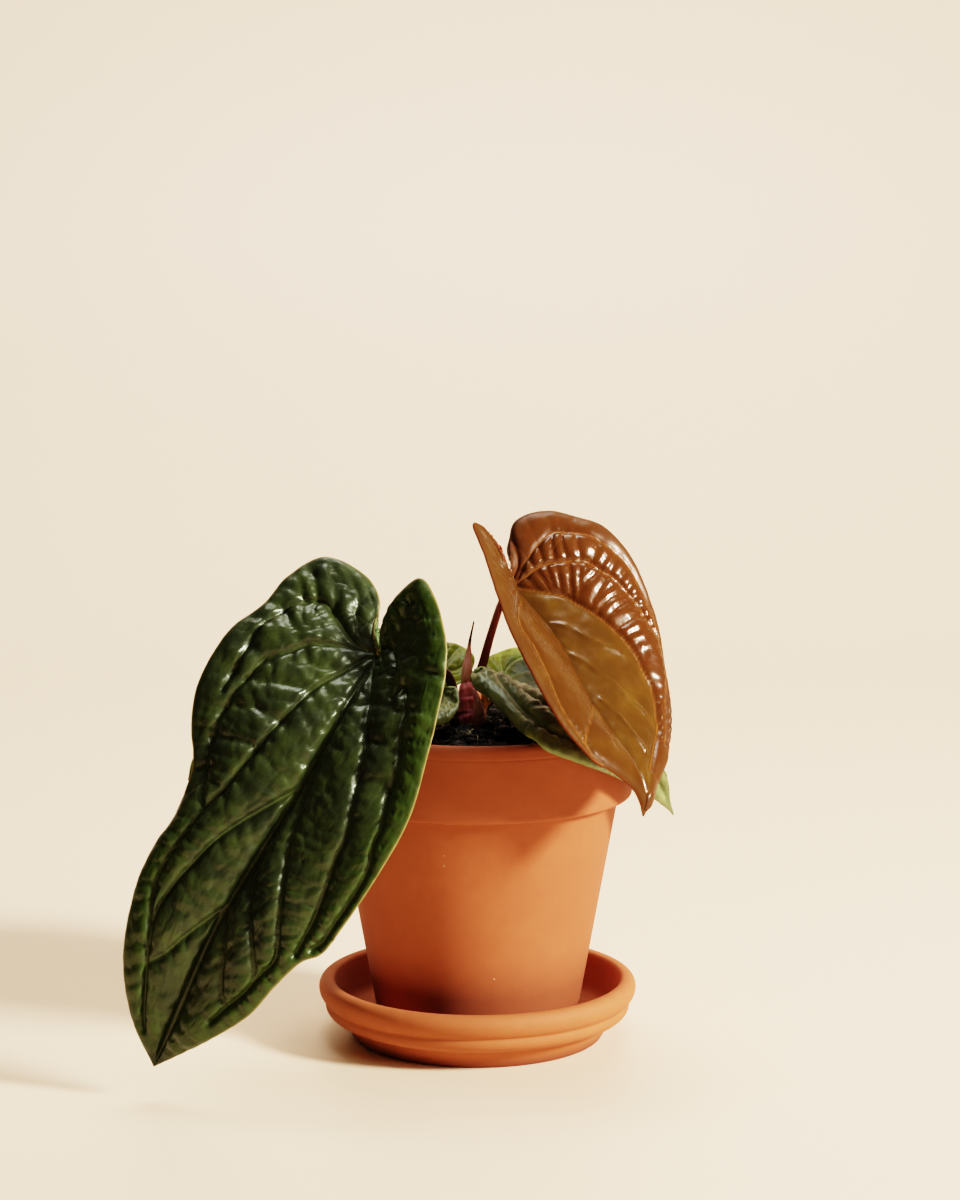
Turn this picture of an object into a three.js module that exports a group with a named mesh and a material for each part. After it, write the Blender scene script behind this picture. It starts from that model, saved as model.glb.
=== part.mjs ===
// A young anthurium hybrid in a terracotta pot on its saucer.
// Millimetres, +Z up. The origin is the middle of the saucer's flat underside, +X is the plant's
// bronze-leaf side and -Y is the side that the large green leaf hangs over.
import * as THREE from 'three';
import { mergeVertices } from 'three/addons/utils/BufferGeometryUtils.js';

// Driving sizes
const SEAT_GAP = 0.3;
const LATHE_SIDES = 48;

// Saucer, as [radius, height] from the middle of its underside, round its rolled rim, to its floor
const SAUCER_FLOOR = 8;
const SAUCER_PROFILE = [
  [0, 0], [56.5, 0], [57.3, 1], [61.2, 8.3], [62.2, 9.2], [66.3, 9.9], [68.8, 12], [69.5, 14.4],
  [69, 16.6], [70.4, 17.6], [71.9, 20], [72.4, 22.9], [71.6, 25.4], [69.6, 27], [67.2, 27.3],
  [65.4, 26.6], [64.6, 24], [62, 12], [60.5, 9.5], [57, SAUCER_FLOOR], [0, SAUCER_FLOOR],
];

// Pot: a tapered body under a straight band, with a small bead round the lip
const POT_FOOT = SAUCER_FLOOR + SEAT_GAP;
const POT_FOOT_RADIUS = 44.4;
const POT_HEAD = 146.4;
const BAND_RADIUS = 70;
const BAND_FOOT = 112.3;
const BEAD_HEIGHT = 6;
const NECK_RADIUS = 63.9;
const POT_FLOOR = 17;
const POT_FLOOR_RADIUS = 39.5;
const MOUTH_RADIUS = 63.2;
const DRAIN_RADIUS = 9;

// Potting mix: it fills the pot to just under the lip and heaps up round the plant's foot
const MIX_EDGE = 141;
const MIX_HEAP = 5.5;
const MIX_LUMP = 0.9;
const MIX_RINGS = 9;

// Crown: the short upright stem, sunk in its own hole in the mix
const CROWN_PATH = [[-3, -18, 139], [-3.1, -17.8, 144.5], [-3.4, -17.2, 150], [-4.2, -15.6, 158],
  [-5, -14, 166]];
const CROWN_RADII = [5.4, 5.4, 5.3, 4.3, 2.9];
const CROWN_SIDES = 12;

// Blades: every blade is one sheet between three curves, the midrib and its two margins, which all
// run from the petiole to the tip. The margins first go round the lobes behind the petiole.
// lift is the height and direction in which the middle of each half stands proud of a flat sheet,
// and quilt is how far the pillows between the sunken veins stand out of that.
const BLADE_THICKNESS = 0.8;
const MIDRIB_PACE = 1.35;
const MARGIN_PACE = 0.8;
const LOBE_FADE = 0.8;
const TIP_FADE = 4;
const RIDGES_ACROSS = 3;

const BLADES = [
  {
    name: 'leaf_large_green', colour: 0x2c4420, roughness: 0.42, quilt: 2.6,
    midrib: [[-42, -70, 187], [-57, -88, 166], [-75, -99, 135], [-93, -104, 106], [-111, -107, 76],
      [-127, -105, 40], [-138, -100, 14]],
    left: {
      lobeShare: 0.42, lift: [-3, -5, 4],
      margin: [[-42, -70, 187], [-44, -66, 197], [-42, -58, 209], [-49, -50, 219], [-66, -46, 226],
        [-82, -50, 218], [-92, -57, 207], [-107, -64, 196], [-119, -72, 176], [-122, -78, 158],
        [-121, -84, 142], [-128, -90, 122], [-137, -93, 109], [-145, -97, 91], [-150, -101, 63],
        [-147, -102, 37], [-138, -100, 14]],
    },
    right: {
      lobeShare: 0.38, lift: [-3, -6, 2],
      margin: [[-42, -70, 187], [-39, -70, 199], [-37, -70, 209], [-25, -76, 221], [-18, -84, 215],
        [-13, -96, 199], [-13, -103, 185], [-16, -109, 170], [-20, -115, 154], [-28, -121, 127],
        [-42, -124, 102], [-58, -123, 78], [-65, -121, 69], [-74, -120, 65], [-85, -118, 54],
        [-96, -115, 41], [-113, -110, 29], [-138, -100, 14]],
    },
    columns: 9, lobeRidges: 6, bladeRidges: 8,
  },
  {
    name: 'leaf_new_bronze', colour: 0x8a4a1c, roughness: 0.25, quilt: 1.7,
    midrib: [[14, -20, 209], [30, -34, 194], [37, -45, 182], [48, -62, 163], [59, -73, 150],
      [68, -82, 136], [71, -86, 120]],
    left: {
      lobeShare: 0.54, lift: [5, -1, 2],
      margin: [[14, -20, 209], [10, -32, 221], [10, -38, 229], [7, -42, 234], [2, -48, 240],
        [-2, -54, 241], [3, -61, 229], [6, -66, 220], [13, -78, 201], [22, -89, 184],
        [34, -99, 164], [47, -101, 149], [56, -97, 142], [66, -90, 132], [71, -86, 120]],
    },
    right: {
      lobeShare: 0.5, lift: [3, -5, 2],
      margin: [[14, -20, 209], [18, -16, 219], [15, -8, 232], [20, -4, 238], [32, -1, 240],
        [44, 0, 237], [57, 0, 232], [69, -2, 218], [77, -8, 199], [81, -18, 183], [84, -41, 154],
        [81, -59, 139], [75, -74, 129], [71, -86, 120]],
    },
    columns: 9, lobeRidges: 6, bladeRidges: 7,
  },
  {
    name: 'leaf_right_low', colour: 0x33502a, roughness: 0.4, quilt: 2,
    midrib: [[10, 5, 159], [28, -10, 158], [46, -21, 156], [63, -25, 153], [77, -28, 139],
      [88, -20, 106]],
    left: {
      lobeShare: 0.4, lift: [0, -4, 8],
      margin: [[10, 5, 159], [6, -8, 167], [3, -16, 171], [-1, -22, 172], [-3, -26, 170],
        [-1, -32, 165], [6, -38, 161], [19, -58, 151], [25, -68, 149], [30, -72, 145],
        [47, -69, 138], [57, -57, 132], [72, -39, 121], [88, -20, 106]],
    },
    right: {
      lobeShare: 0.45, lift: [0, 2, 3],
      margin: [[10, 5, 159], [6, 14, 163], [3, 22, 168], [9, 28, 171], [20, 32, 173],
        [33, 32, 171], [51, 25, 162], [72, 14, 151], [79, -8, 124], [88, -20, 106]],
    },
    columns: 6, lobeRidges: 4, bladeRidges: 5,
  },
  {
    name: 'leaf_left_low', colour: 0x4c5c22, roughness: 0.42, quilt: 1.8,
    midrib: [[-20, 0, 159], [-35, -10, 168], [-56, -22, 170], [-82, -32, 163], [-106, -40, 144],
      [-127, -44, 127]],
    left: {
      lobeShare: 0.4, lift: [0, 3, 3],
      margin: [[-20, 0, 159], [-7, 8, 161], [-2, 18, 166], [-2, 24, 171], [-9, 28, 175],
        [-14, 28, 176], [-26, 26, 179], [-45, 18, 184], [-67, 6, 181], [-88, -10, 170],
        [-110, -25, 152], [-124, -37, 137], [-127, -44, 127]],
    },
    right: {
      lobeShare: 0.45, lift: [1, -3, 2],
      margin: [[-20, 0, 159], [-17.5, -9, 159.5], [-12.5, -19, 162], [-9, -24, 164],
        [-8, -29, 163], [-8, -36, 158],
        [-11, -41, 153], [-16, -44, 151], [-25, -50, 150], [-34, -56, 151], [-46, -62, 150],
        [-76, -66, 143], [-98, -62, 129], [-114, -54, 122], [-127, -44, 127]],
    },
    columns: 6, lobeRidges: 4, bladeRidges: 5,
  },
];

// Round stems: a path and the radius at each of its points
const STEM_SIDES = 10;
const STEMS = [
  {
    name: 'petiole_large_green', colour: 0x4a2326, steps: 12,
    path: [[-11.3, -16.6, 151], [-11, -12.8, 161.5], [-15.3, -15.5, 170.2], [-27, -36, 177.5],
      [-36, -57, 183.3], [-41.6, -68.9, 186.1]],
    radii: [2.4, 2.3, 2.1, 1.9, 1.8, 1.7],
  },
  {
    name: 'petiole_new_bronze', colour: 0x5e1a1c, steps: 12,
    path: [[-5.3, -9.7, 151], [-2.6, -6.6, 160], [1.6, -4.6, 169], [5.6, -8, 184], [10.1, -13, 199],
      [13.5, -19, 208.2]],
    radii: [2.2, 2.2, 2.1, 1.8, 1.5, 1.4],
  },
  {
    name: 'petiole_right_low', colour: 0x4a3222, steps: 7,
    path: [[-0.5, -11.2, 149.5], [3.4, -6.2, 152.5], [7.6, -0.4, 155.5], [9.5, 3.6, 157.4]],
    radii: [1.9, 1.8, 1.7, 1.6],
  },
  {
    name: 'petiole_left_low', colour: 0x4a3222, steps: 7,
    path: [[-8.3, -12.8, 149.5], [-12, -8.2, 152.5], [-16.6, -3.6, 155.3], [-19.3, -0.8, 157.2]],
    radii: [1.9, 1.8, 1.7, 1.6],
  },
  {
    name: 'new_shoot', colour: 0xb56a60, steps: 12,
    path: [[-5.1, -13.8, 167], [-4.6, -12.8, 171], [-4, -11.4, 176], [-3.6, -10.6, 181],
      [-2.8, -10.2, 186], [-1.5, -10, 192]],
    radii: [2.8, 2.3, 1.5, 0.8, 0.5, 0.35],
  },
];

// Cataphylls: papery scales wrapped round the crown, as angles round it (from +X towards +Y)
const SCALE_THICKNESS = 0.8;
const SCALES = [
  {
    name: 'cataphyll_pink', colour: 0xb0625a, middle: -46, spread: 40, from: 0.38, to: 0.76,
    gap: 0.4, flare: 1.2,
  },
  {
    name: 'cataphyll_dry', colour: 0xa85c22, middle: 22, spread: 22, from: 0.38, to: 0.66,
    gap: 0.4, flare: 3.6,
  },
];
const SCALE_COLUMNS = 6;
const SCALE_ROWS = 6;

const COLOURS = { terracotta: 0xb0562c, mix: 0x1c1d14, crown: 0x46161a };

const model = new THREE.Group();

function addMesh(name, geometry, colour, roughness) {
  const material = new THREE.MeshStandardMaterial({ color: colour, roughness, metalness: 0 });
  const mesh = new THREE.Mesh(geometry, material);
  mesh.name = name;
  model.add(mesh);
}

function vector(point) {
  return new THREE.Vector3(...point);
}

function curveThrough(points) {
  return new THREE.CatmullRomCurve3(points.map(vector), false, 'catmullrom', 0.5);
}

// Value of a list of numbers read as a piecewise straight line, at a share from 0 to 1
function alongList(values, share) {
  const place = Math.min(share, 1) * (values.length - 1);
  const index = Math.min(Math.floor(place), values.length - 2);
  return THREE.MathUtils.lerp(values[index], values[index + 1], place - index);
}

// A body turned round the upright axis from [radius, height] points
function turned(profile) {
  const points = profile.map(([radius, height]) => new THREE.Vector2(radius, height));
  const geometry = new THREE.LatheGeometry(points, LATHE_SIDES);
  geometry.rotateX(Math.PI / 2);
  return geometry;
}

function indexedGeometry(points, triangles) {
  const geometry = new THREE.BufferGeometry();
  geometry.setAttribute('position', new THREE.Float32BufferAttribute(points.flat(), 3));
  geometry.setIndex(triangles.flat());
  return geometry;
}

// Triangles of a grid of rows of equal length, joined row to row; wrap joins the last column to
// the first one
function gridTriangles(rows, columns, wrap) {
  const triangles = [];
  const spans = wrap ? columns : columns - 1;
  for (let row = 0; row < rows - 1; row += 1) {
    for (let column = 0; column < spans; column += 1) {
      const next = (column + 1) % columns;
      const a = row * columns + column;
      const b = (row + 1) * columns + column;
      const c = row * columns + next;
      const d = (row + 1) * columns + next;
      triangles.push([a, b, c], [c, b, d]);
    }
  }
  return triangles;
}

// Saucer and pot
function potProfile() {
  const beadFoot = POT_HEAD - BEAD_HEIGHT;
  return [
    [DRAIN_RADIUS, POT_FOOT], [POT_FOOT_RADIUS, POT_FOOT], [POT_FOOT_RADIUS + 1, POT_FOOT + 1.2],
    [NECK_RADIUS, BAND_FOOT], [BAND_RADIUS - 0.8, BAND_FOOT], [BAND_RADIUS, BAND_FOOT + 1.2],
    [BAND_RADIUS, beadFoot - 0.6], [BAND_RADIUS - 0.5, beadFoot], [BAND_RADIUS - 0.1, beadFoot + 0.9],
    [BAND_RADIUS - 0.5, POT_HEAD - 1.8], [BAND_RADIUS - 2, POT_HEAD],
    [MOUTH_RADIUS + 1.4, POT_HEAD], [MOUTH_RADIUS, POT_HEAD - 1.4],
    [POT_FLOOR_RADIUS, POT_FLOOR], [DRAIN_RADIUS, POT_FLOOR], [DRAIN_RADIUS, POT_FOOT],
  ];
}

// Radius of the pot's inner wall at a height
function innerRadius(height) {
  const share = (height - POT_FLOOR) / (POT_HEAD - 1.4 - POT_FLOOR);
  return THREE.MathUtils.lerp(POT_FLOOR_RADIUS, MOUTH_RADIUS, share);
}

// Potting mix: rings from the crown's hole out to the wall, then down the wall and along the floor
function mixGeometry() {
  const [holeX, holeY] = CROWN_PATH[0];
  const holeFloor = CROWN_PATH[0][2] - SEAT_GAP;
  const holeRadius = Math.max(...CROWN_RADII) + 3 * SEAT_GAP;
  const edgeRadius = innerRadius(MIX_EDGE) - SEAT_GAP;
  const lump = (x, y) => MIX_LUMP * (Math.sin(x * 0.42 + y * 0.13) + Math.sin(y * 0.37 - x * 0.21 + 2));
  const points = [[holeX, holeY, holeFloor]];
  const ring = (share, height) => {
    for (let side = 0; side < LATHE_SIDES; side += 1) {
      const angle = 2 * Math.PI * side / LATHE_SIDES;
      const [cos, sin] = [Math.cos(angle), Math.sin(angle)];
      const x = THREE.MathUtils.lerp(holeX + holeRadius * cos, edgeRadius * cos, share);
      const y = THREE.MathUtils.lerp(holeY + holeRadius * sin, edgeRadius * sin, share);
      points.push([x, y, height(x, y)]);
    }
  };
  const top = (share) => (x, y) => MIX_EDGE + MIX_HEAP * (1 - share) ** 2 + lump(x, y) * (1 - share ** 6);
  ring(0, () => holeFloor);
  for (let index = 0; index <= MIX_RINGS; index += 1) {
    ring(index / MIX_RINGS, top(index / MIX_RINGS));
  }
  for (let side = 0; side < LATHE_SIDES; side += 1) {
    const angle = 2 * Math.PI * side / LATHE_SIDES;
    const radius = POT_FLOOR_RADIUS - SEAT_GAP;
    points.push([radius * Math.cos(angle), radius * Math.sin(angle), POT_FLOOR + SEAT_GAP]);
  }
  const rings = MIX_RINGS + 3;
  const triangles = gridTriangles(rings, LATHE_SIDES, true)
    .map((corners) => corners.map((corner) => corner + 1));
  const last = 1 + (rings - 1) * LATHE_SIDES;
  points.push([0, 0, POT_FLOOR + SEAT_GAP]);
  for (let side = 0; side < LATHE_SIDES; side += 1) {
    const next = (side + 1) % LATHE_SIDES;
    triangles.push([0, 1 + side, 1 + next]);
    triangles.push([points.length - 1, last + next, last + side]);
  }
  return indexedGeometry(points, triangles);
}

// A round stem with closed ends, along a path
function stemGeometry(path, radii, steps, sides) {
  const curve = curveThrough(path);
  const points = [];
  const across = new THREE.Vector3(1, 0, 0);
  for (let step = 0; step <= steps; step += 1) {
    const share = step / steps;
    const centre = curve.getPoint(share);
    const tangent = curve.getTangent(share);
    const first = across.clone().addScaledVector(tangent, -across.dot(tangent)).normalize();
    const second = tangent.clone().cross(first);
    const radius = alongList(radii, share);
    for (let side = 0; side < sides; side += 1) {
      const angle = 2 * Math.PI * side / sides;
      const point = centre.clone().addScaledVector(first, radius * Math.cos(angle))
        .addScaledVector(second, radius * Math.sin(angle));
      points.push(point.toArray());
    }
  }
  const triangles = gridTriangles(steps + 1, sides, true).map(([a, b, c]) => [a, c, b]);
  const last = steps * sides;
  points.push(curve.getPoint(0).toArray(), curve.getPoint(1).toArray());
  for (let side = 0; side < sides; side += 1) {
    const next = (side + 1) % sides;
    triangles.push([points.length - 2, next, side]);
    triangles.push([points.length - 1, last + side, last + next]);
  }
  return indexedGeometry(points, triangles);
}

// Gives an open sheet its thickness, away from its upper side, and closes its edge. Both faces are
// split into the same triangles.
function closedSheet(sheet, thickness) {
  const merged = mergeVertices(sheet);
  const whole = [];
  for (let place = 0; place < merged.index.count; place += 3) {
    const corners = [0, 1, 2].map((offset) => merged.index.getX(place + offset));
    if (new Set(corners).size === 3) whole.push(corners);
  }
  merged.setIndex(whole.flat());
  merged.computeVertexNormals();
  const { position, normal } = merged.attributes;
  const upper = [];
  const lower = [];
  for (let index = 0; index < position.count; index += 1) {
    const point = new THREE.Vector3().fromBufferAttribute(position, index);
    const below = new THREE.Vector3().fromBufferAttribute(normal, index).multiplyScalar(-thickness);
    upper.push(point.toArray());
    lower.push(below.add(point).toArray());
  }
  const count = position.count;
  const edges = new Set(whole.flatMap(([a, b, c]) => [`${a} ${b}`, `${b} ${c}`, `${c} ${a}`]));
  const triangles = [...whole, ...whole.map(([a, b, c]) => [a + count, c + count, b + count])];
  for (const edge of edges) {
    const [from, to] = edge.split(' ').map(Number);
    if (!edges.has(`${to} ${from}`)) {
      triangles.push([from, from + count, to], [to, from + count, to + count]);
    }
  }
  return indexedGeometry([...upper, ...lower], triangles);
}

// Point of one half of a blade: across is 0 at the midrib and 1 at the margin; along is -1 at the
// cut between the lobes, 0 level with the petiole and 1 at the tip
function bladePoint(blade, half, across, along) {
  const lobe = half.lobeShare;
  const behind = along < 0;
  const edgeShare = behind ? lobe * (1 + along) : lobe + (1 - lobe) * along ** MARGIN_PACE;
  const spine = blade.spine.getPoint(behind ? 0 : along ** MIDRIB_PACE);
  const edge = half.curve.getPoint(edgeShare);
  const lift = vector(half.lift);
  const fade = behind ? 1 - (-along) ** LOBE_FADE : 1 - along ** TIP_FADE;
  const ridges = behind ? blade.lobeRidges : blade.bladeRidges;
  const swell = Math.abs(Math.sin(Math.PI * ridges * along));
  const quilt = blade.quilt * Math.abs(Math.sin(Math.PI * RIDGES_ACROSS * across)) * swell;
  const point = spine.lerp(edge, across).addScaledVector(lift, 4 * across * (1 - across) * fade);
  return point.addScaledVector(lift.normalize(), quilt * fade);
}

function bladeGeometry(blade) {
  const stepsPerRidge = 3;
  const rows = [];
  const lobeRows = blade.lobeRidges * stepsPerRidge;
  const bladeRows = blade.bladeRidges * stepsPerRidge;
  for (let row = 1; row < lobeRows; row += 1) rows.push(row / lobeRows - 1);
  for (let row = 0; row <= bladeRows; row += 1) rows.push(row / bladeRows);
  blade.spine = curveThrough(blade.midrib);
  for (const half of [blade.left, blade.right]) half.curve = curveThrough(half.margin);
  const points = [];
  for (const along of rows) {
    for (let column = -blade.columns; column <= blade.columns; column += 1) {
      const half = column < 0 ? blade.left : blade.right;
      points.push(bladePoint(blade, half, Math.abs(column) / blade.columns, along).toArray());
    }
  }
  const triangles = gridTriangles(rows.length, 2 * blade.columns + 1, false);
  return closedSheet(indexedGeometry(points, triangles), BLADE_THICKNESS);
}

// A pointed scale that hugs the crown and flares away from it towards its point
function scaleGeometry(scale) {
  const axis = curveThrough(CROWN_PATH);
  const points = [];
  for (let row = 0; row <= SCALE_ROWS; row += 1) {
    const share = row / SCALE_ROWS;
    const place = THREE.MathUtils.lerp(scale.from, scale.to, share);
    const centre = axis.getPoint(place);
    const reach = alongList(CROWN_RADII, place) + scale.gap + SCALE_THICKNESS + scale.flare * share ** 2;
    const spread = scale.spread * Math.cos(share * Math.PI * 0.46);
    for (let column = 0; column <= SCALE_COLUMNS; column += 1) {
      const turn = scale.middle + spread * (2 * column / SCALE_COLUMNS - 1);
      const angle = THREE.MathUtils.degToRad(turn);
      points.push([centre.x + reach * Math.cos(angle), centre.y + reach * Math.sin(angle), centre.z]);
    }
  }
  const triangles = gridTriangles(SCALE_ROWS + 1, SCALE_COLUMNS + 1, false).map(([a, b, c]) => [a, c, b]);
  return closedSheet(indexedGeometry(points, triangles), SCALE_THICKNESS);
}

addMesh('saucer', turned(SAUCER_PROFILE), COLOURS.terracotta, 0.8);
addMesh('pot', turned(potProfile()), COLOURS.terracotta, 0.8);
addMesh('potting_mix', mixGeometry(), COLOURS.mix, 0.95);
addMesh('crown', stemGeometry(CROWN_PATH, CROWN_RADII, 9, CROWN_SIDES), COLOURS.crown, 0.6);
for (const scale of SCALES) addMesh(scale.name, scaleGeometry(scale), scale.colour, 0.6);
for (const stem of STEMS) {
  addMesh(stem.name, stemGeometry(stem.path, stem.radii, stem.steps, STEM_SIDES), stem.colour, 0.4);
}
for (const blade of BLADES) addMesh(blade.name, bladeGeometry(blade), blade.colour, blade.roughness);

export default model;
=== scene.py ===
"""Looks of a young anthurium hybrid in a terracotta pot on its saucer."""

import math
import random

import bmesh
import bpy
import numpy as np
from mathutils import Matrix, Vector, noise
from mathutils.kdtree import KDTree


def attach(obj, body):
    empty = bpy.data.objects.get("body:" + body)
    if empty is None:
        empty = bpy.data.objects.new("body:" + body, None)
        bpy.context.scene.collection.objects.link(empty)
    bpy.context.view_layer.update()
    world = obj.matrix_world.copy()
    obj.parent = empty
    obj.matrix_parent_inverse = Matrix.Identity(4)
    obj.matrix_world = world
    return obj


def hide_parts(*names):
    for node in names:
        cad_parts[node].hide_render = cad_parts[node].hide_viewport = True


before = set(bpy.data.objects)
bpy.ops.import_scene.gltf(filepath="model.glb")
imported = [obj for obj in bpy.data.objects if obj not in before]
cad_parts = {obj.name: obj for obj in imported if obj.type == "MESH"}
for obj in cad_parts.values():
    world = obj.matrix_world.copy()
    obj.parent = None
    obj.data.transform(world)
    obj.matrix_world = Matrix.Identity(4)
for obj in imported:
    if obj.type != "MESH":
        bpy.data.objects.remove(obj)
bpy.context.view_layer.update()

MM = 0.001

# The photograph's camera, fitted to the ellipses of the pot and saucer: pixels, millimetres, degrees
PICTURE = (960, 1200)
LENS = 96.0
SENSOR = 36.0
CAMERA_PLACE = (1.17, -1418.1, 420.0)
CAMERA_PITCH = 8.82

# The blades' flat sheets, as in the solids. Points and thickness are in millimetres; the paces spread
# the rows along midrib and margin, and the fades end a half's lift at the cut and at the tip
MIDRIB_PACE = 1.35
MARGIN_PACE = 0.8
LOBE_FADE = 0.8
TIP_FADE = 4
BLADE_THICKNESS = 0.8

LARGE_GREEN = {
    "midrib": [(-42, -70, 187), (-57, -88, 166), (-75, -99, 135), (-93, -104, 106), (-111, -107, 76),
               (-127, -105, 40), (-138, -100, 14)],
    "left": {
        "lobe": 0.42, "lift": (-3, -5, 4),
        "margin": [(-42, -70, 187), (-44, -66, 197), (-42, -58, 209), (-49, -50, 219), (-66, -46, 226),
                   (-82, -50, 218), (-92, -57, 207), (-107, -64, 196), (-119, -72, 176),
                   (-122, -78, 158), (-121, -84, 142), (-128, -90, 122), (-137, -93, 109),
                   (-145, -97, 91), (-150, -101, 63), (-147, -102, 37), (-138, -100, 14)],
    },
    "right": {
        "lobe": 0.38, "lift": (-3, -6, 2),
        "margin": [(-42, -70, 187), (-39, -70, 199), (-37, -70, 209), (-25, -76, 221), (-18, -84, 215),
                   (-13, -96, 199), (-13, -103, 185), (-16, -109, 170), (-20, -115, 154),
                   (-28, -121, 127), (-42, -124, 102), (-58, -123, 78), (-65, -121, 69),
                   (-74, -120, 65), (-85, -118, 54), (-96, -115, 41), (-113, -110, 29),
                   (-138, -100, 14)],
    },
}

NEW_BRONZE = {
    "midrib": [(14, -20, 209), (30, -34, 194), (37, -45, 182), (48, -62, 163), (59, -73, 150),
               (68, -82, 136), (71, -86, 120)],
    "left": {
        "lobe": 0.54, "lift": (5, -1, 2),
        "margin": [(14, -20, 209), (10, -32, 221), (10, -38, 229), (7, -42, 234), (2, -48, 240),
                   (-2, -54, 241), (3, -61, 229), (6, -66, 220), (13, -78, 201), (22, -89, 184),
                   (34, -99, 164), (47, -101, 149), (56, -97, 142), (66, -90, 132), (71, -86, 120)],
    },
    "right": {
        "lobe": 0.5, "lift": (3, -5, 2),
        "margin": [(14, -20, 209), (18, -16, 219), (15, -8, 232), (20, -4, 238), (32, -1, 240),
                   (44, 0, 237), (57, 0, 232), (69, -2, 218), (77, -8, 199), (81, -18, 183),
                   (84, -41, 154), (81, -59, 139), (75, -74, 129), (71, -86, 120)],
    },
}

RIGHT_LOW = {
    "midrib": [(10, 5, 159), (28, -10, 158), (46, -21, 156), (63, -25, 153), (77, -28, 139),
               (88, -20, 106)],
    "left": {
        "lobe": 0.4, "lift": (0, -4, 8),
        "margin": [(10, 5, 159), (6, -8, 167), (3, -16, 171), (-1, -22, 172), (-3, -26, 170),
                   (-1, -32, 165), (6, -38, 161), (19, -58, 151), (25, -68, 149), (30, -72, 145),
                   (47, -69, 138), (57, -57, 132), (72, -39, 121), (88, -20, 106)],
    },
    "right": {
        "lobe": 0.45, "lift": (0, 2, 3),
        "margin": [(10, 5, 159), (6, 14, 163), (3, 22, 168), (9, 28, 171), (20, 32, 173),
                   (33, 32, 171), (51, 25, 162), (72, 14, 151), (79, -8, 124), (88, -20, 106)],
    },
}

LEFT_LOW = {
    "midrib": [(-20, 0, 159), (-35, -10, 168), (-56, -22, 170), (-82, -32, 163), (-106, -40, 144),
               (-127, -44, 127)],
    "left": {
        "lobe": 0.4, "lift": (0, 3, 3),
        "margin": [(-20, 0, 159), (-7, 8, 161), (-2, 18, 166), (-2, 24, 171), (-9, 28, 175),
                   (-14, 28, 176), (-26, 26, 179), (-45, 18, 184), (-67, 6, 181), (-88, -10, 170),
                   (-110, -25, 152), (-124, -37, 137), (-127, -44, 127)],
    },
    "right": {
        "lobe": 0.45, "lift": (1, -3, 2),
        "margin": [(-20, 0, 159), (-17.5, -9, 159.5), (-12.5, -19, 162), (-9, -24, 164),
                   (-8, -29, 163), (-8, -36, 158), (-11, -41, 153), (-16, -44, 151), (-25, -50, 150),
                   (-34, -56, 151), (-46, -62, 150), (-76, -66, 143), (-98, -62, 129),
                   (-114, -54, 122), (-127, -44, 127)],
    },
}

# Sunken main veins, as pixels of the photograph, from the petiole or the midrib outwards
LARGE_GREEN_VEINS = {
    "left": [
        [(372, 657), (346, 669), (314, 686), (292, 708), (274, 727), (255, 749), (240, 766),
         (224, 788), (207, 804), (181, 837), (159, 872), (151, 900), (149, 923)],
        [(372, 653), (342, 645), (323, 644), (307, 644), (285, 653), (262, 660), (249, 673),
         (233, 693), (224, 706), (214, 725), (209, 742), (206, 762), (203, 780), (200, 806)],
        [(372, 652), (354, 640), (343, 625), (336, 613), (323, 600), (307, 599), (288, 605),
         (268, 618), (250, 638), (237, 660), (222, 690)],
        [(298, 792), (262, 810), (220, 837), (194, 862), (171, 888), (154, 915), (148, 945),
         (144, 994), (144, 1031)],
        [(226, 910), (207, 922), (186, 936), (166, 953), (149, 964)],
    ],
    "right": [
        [(379, 655), (393, 668), (401, 684), (403, 706), (399, 736), (396, 762), (390, 788),
         (387, 801), (381, 827), (375, 843), (369, 868), (355, 892), (335, 925), (312, 950)],
        [(376, 660), (371, 668), (369, 688), (366, 706), (362, 753), (357, 779), (353, 802),
         (345, 837), (334, 859), (326, 884), (316, 912), (306, 935), (296, 955)],
        [(318, 762), (303, 800), (290, 837), (283, 872), (280, 896), (279, 923), (277, 949),
         (271, 965), (253, 983), (241, 996), (226, 1008), (210, 1023)],
        [(262, 852), (253, 880), (251, 933), (253, 969), (253, 983)],
        [(226, 912), (221, 953), (221, 990), (224, 1009)],
        [(379, 655), (388, 648), (396, 633), (402, 618), (408, 603)],
    ],
}
LARGE_GREEN_SIDE_VEINS = {
    "left": [
        [(307, 686), (262, 681), (246, 676)],
        [(279, 718), (253, 707), (225, 706)],
        [(255, 748), (235, 738), (212, 737)],
        [(327, 668), (311, 662), (302, 653)],
        [(300, 633), (285, 612), (280, 605)],
        [(262, 660), (250, 640), (244, 622)],
        [(336, 614), (335, 590), (330, 566)],
        [(306, 599), (300, 580), (290, 572)],
        [(318, 597), (314, 585), (311, 573)],
        [(357, 622), (359, 600), (350, 578)],
        [(246, 677), (234, 671), (220, 661)],
        [(225, 706), (211, 701), (196, 698)],
        [(212, 737), (203, 733), (191, 731)],
        [(206, 770), (198, 768), (189, 770)],
    ],
    "right": [
        [(401, 690), (415, 680), (430, 676)],
        [(403, 715), (418, 706), (436, 700)],
        [(398, 742), (412, 738), (430, 732)],
        [(368, 700), (385, 706), (402, 712)],
        [(364, 740), (380, 744), (397, 752)],
        [(357, 780), (372, 782), (390, 790)],
    ],
}
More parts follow.
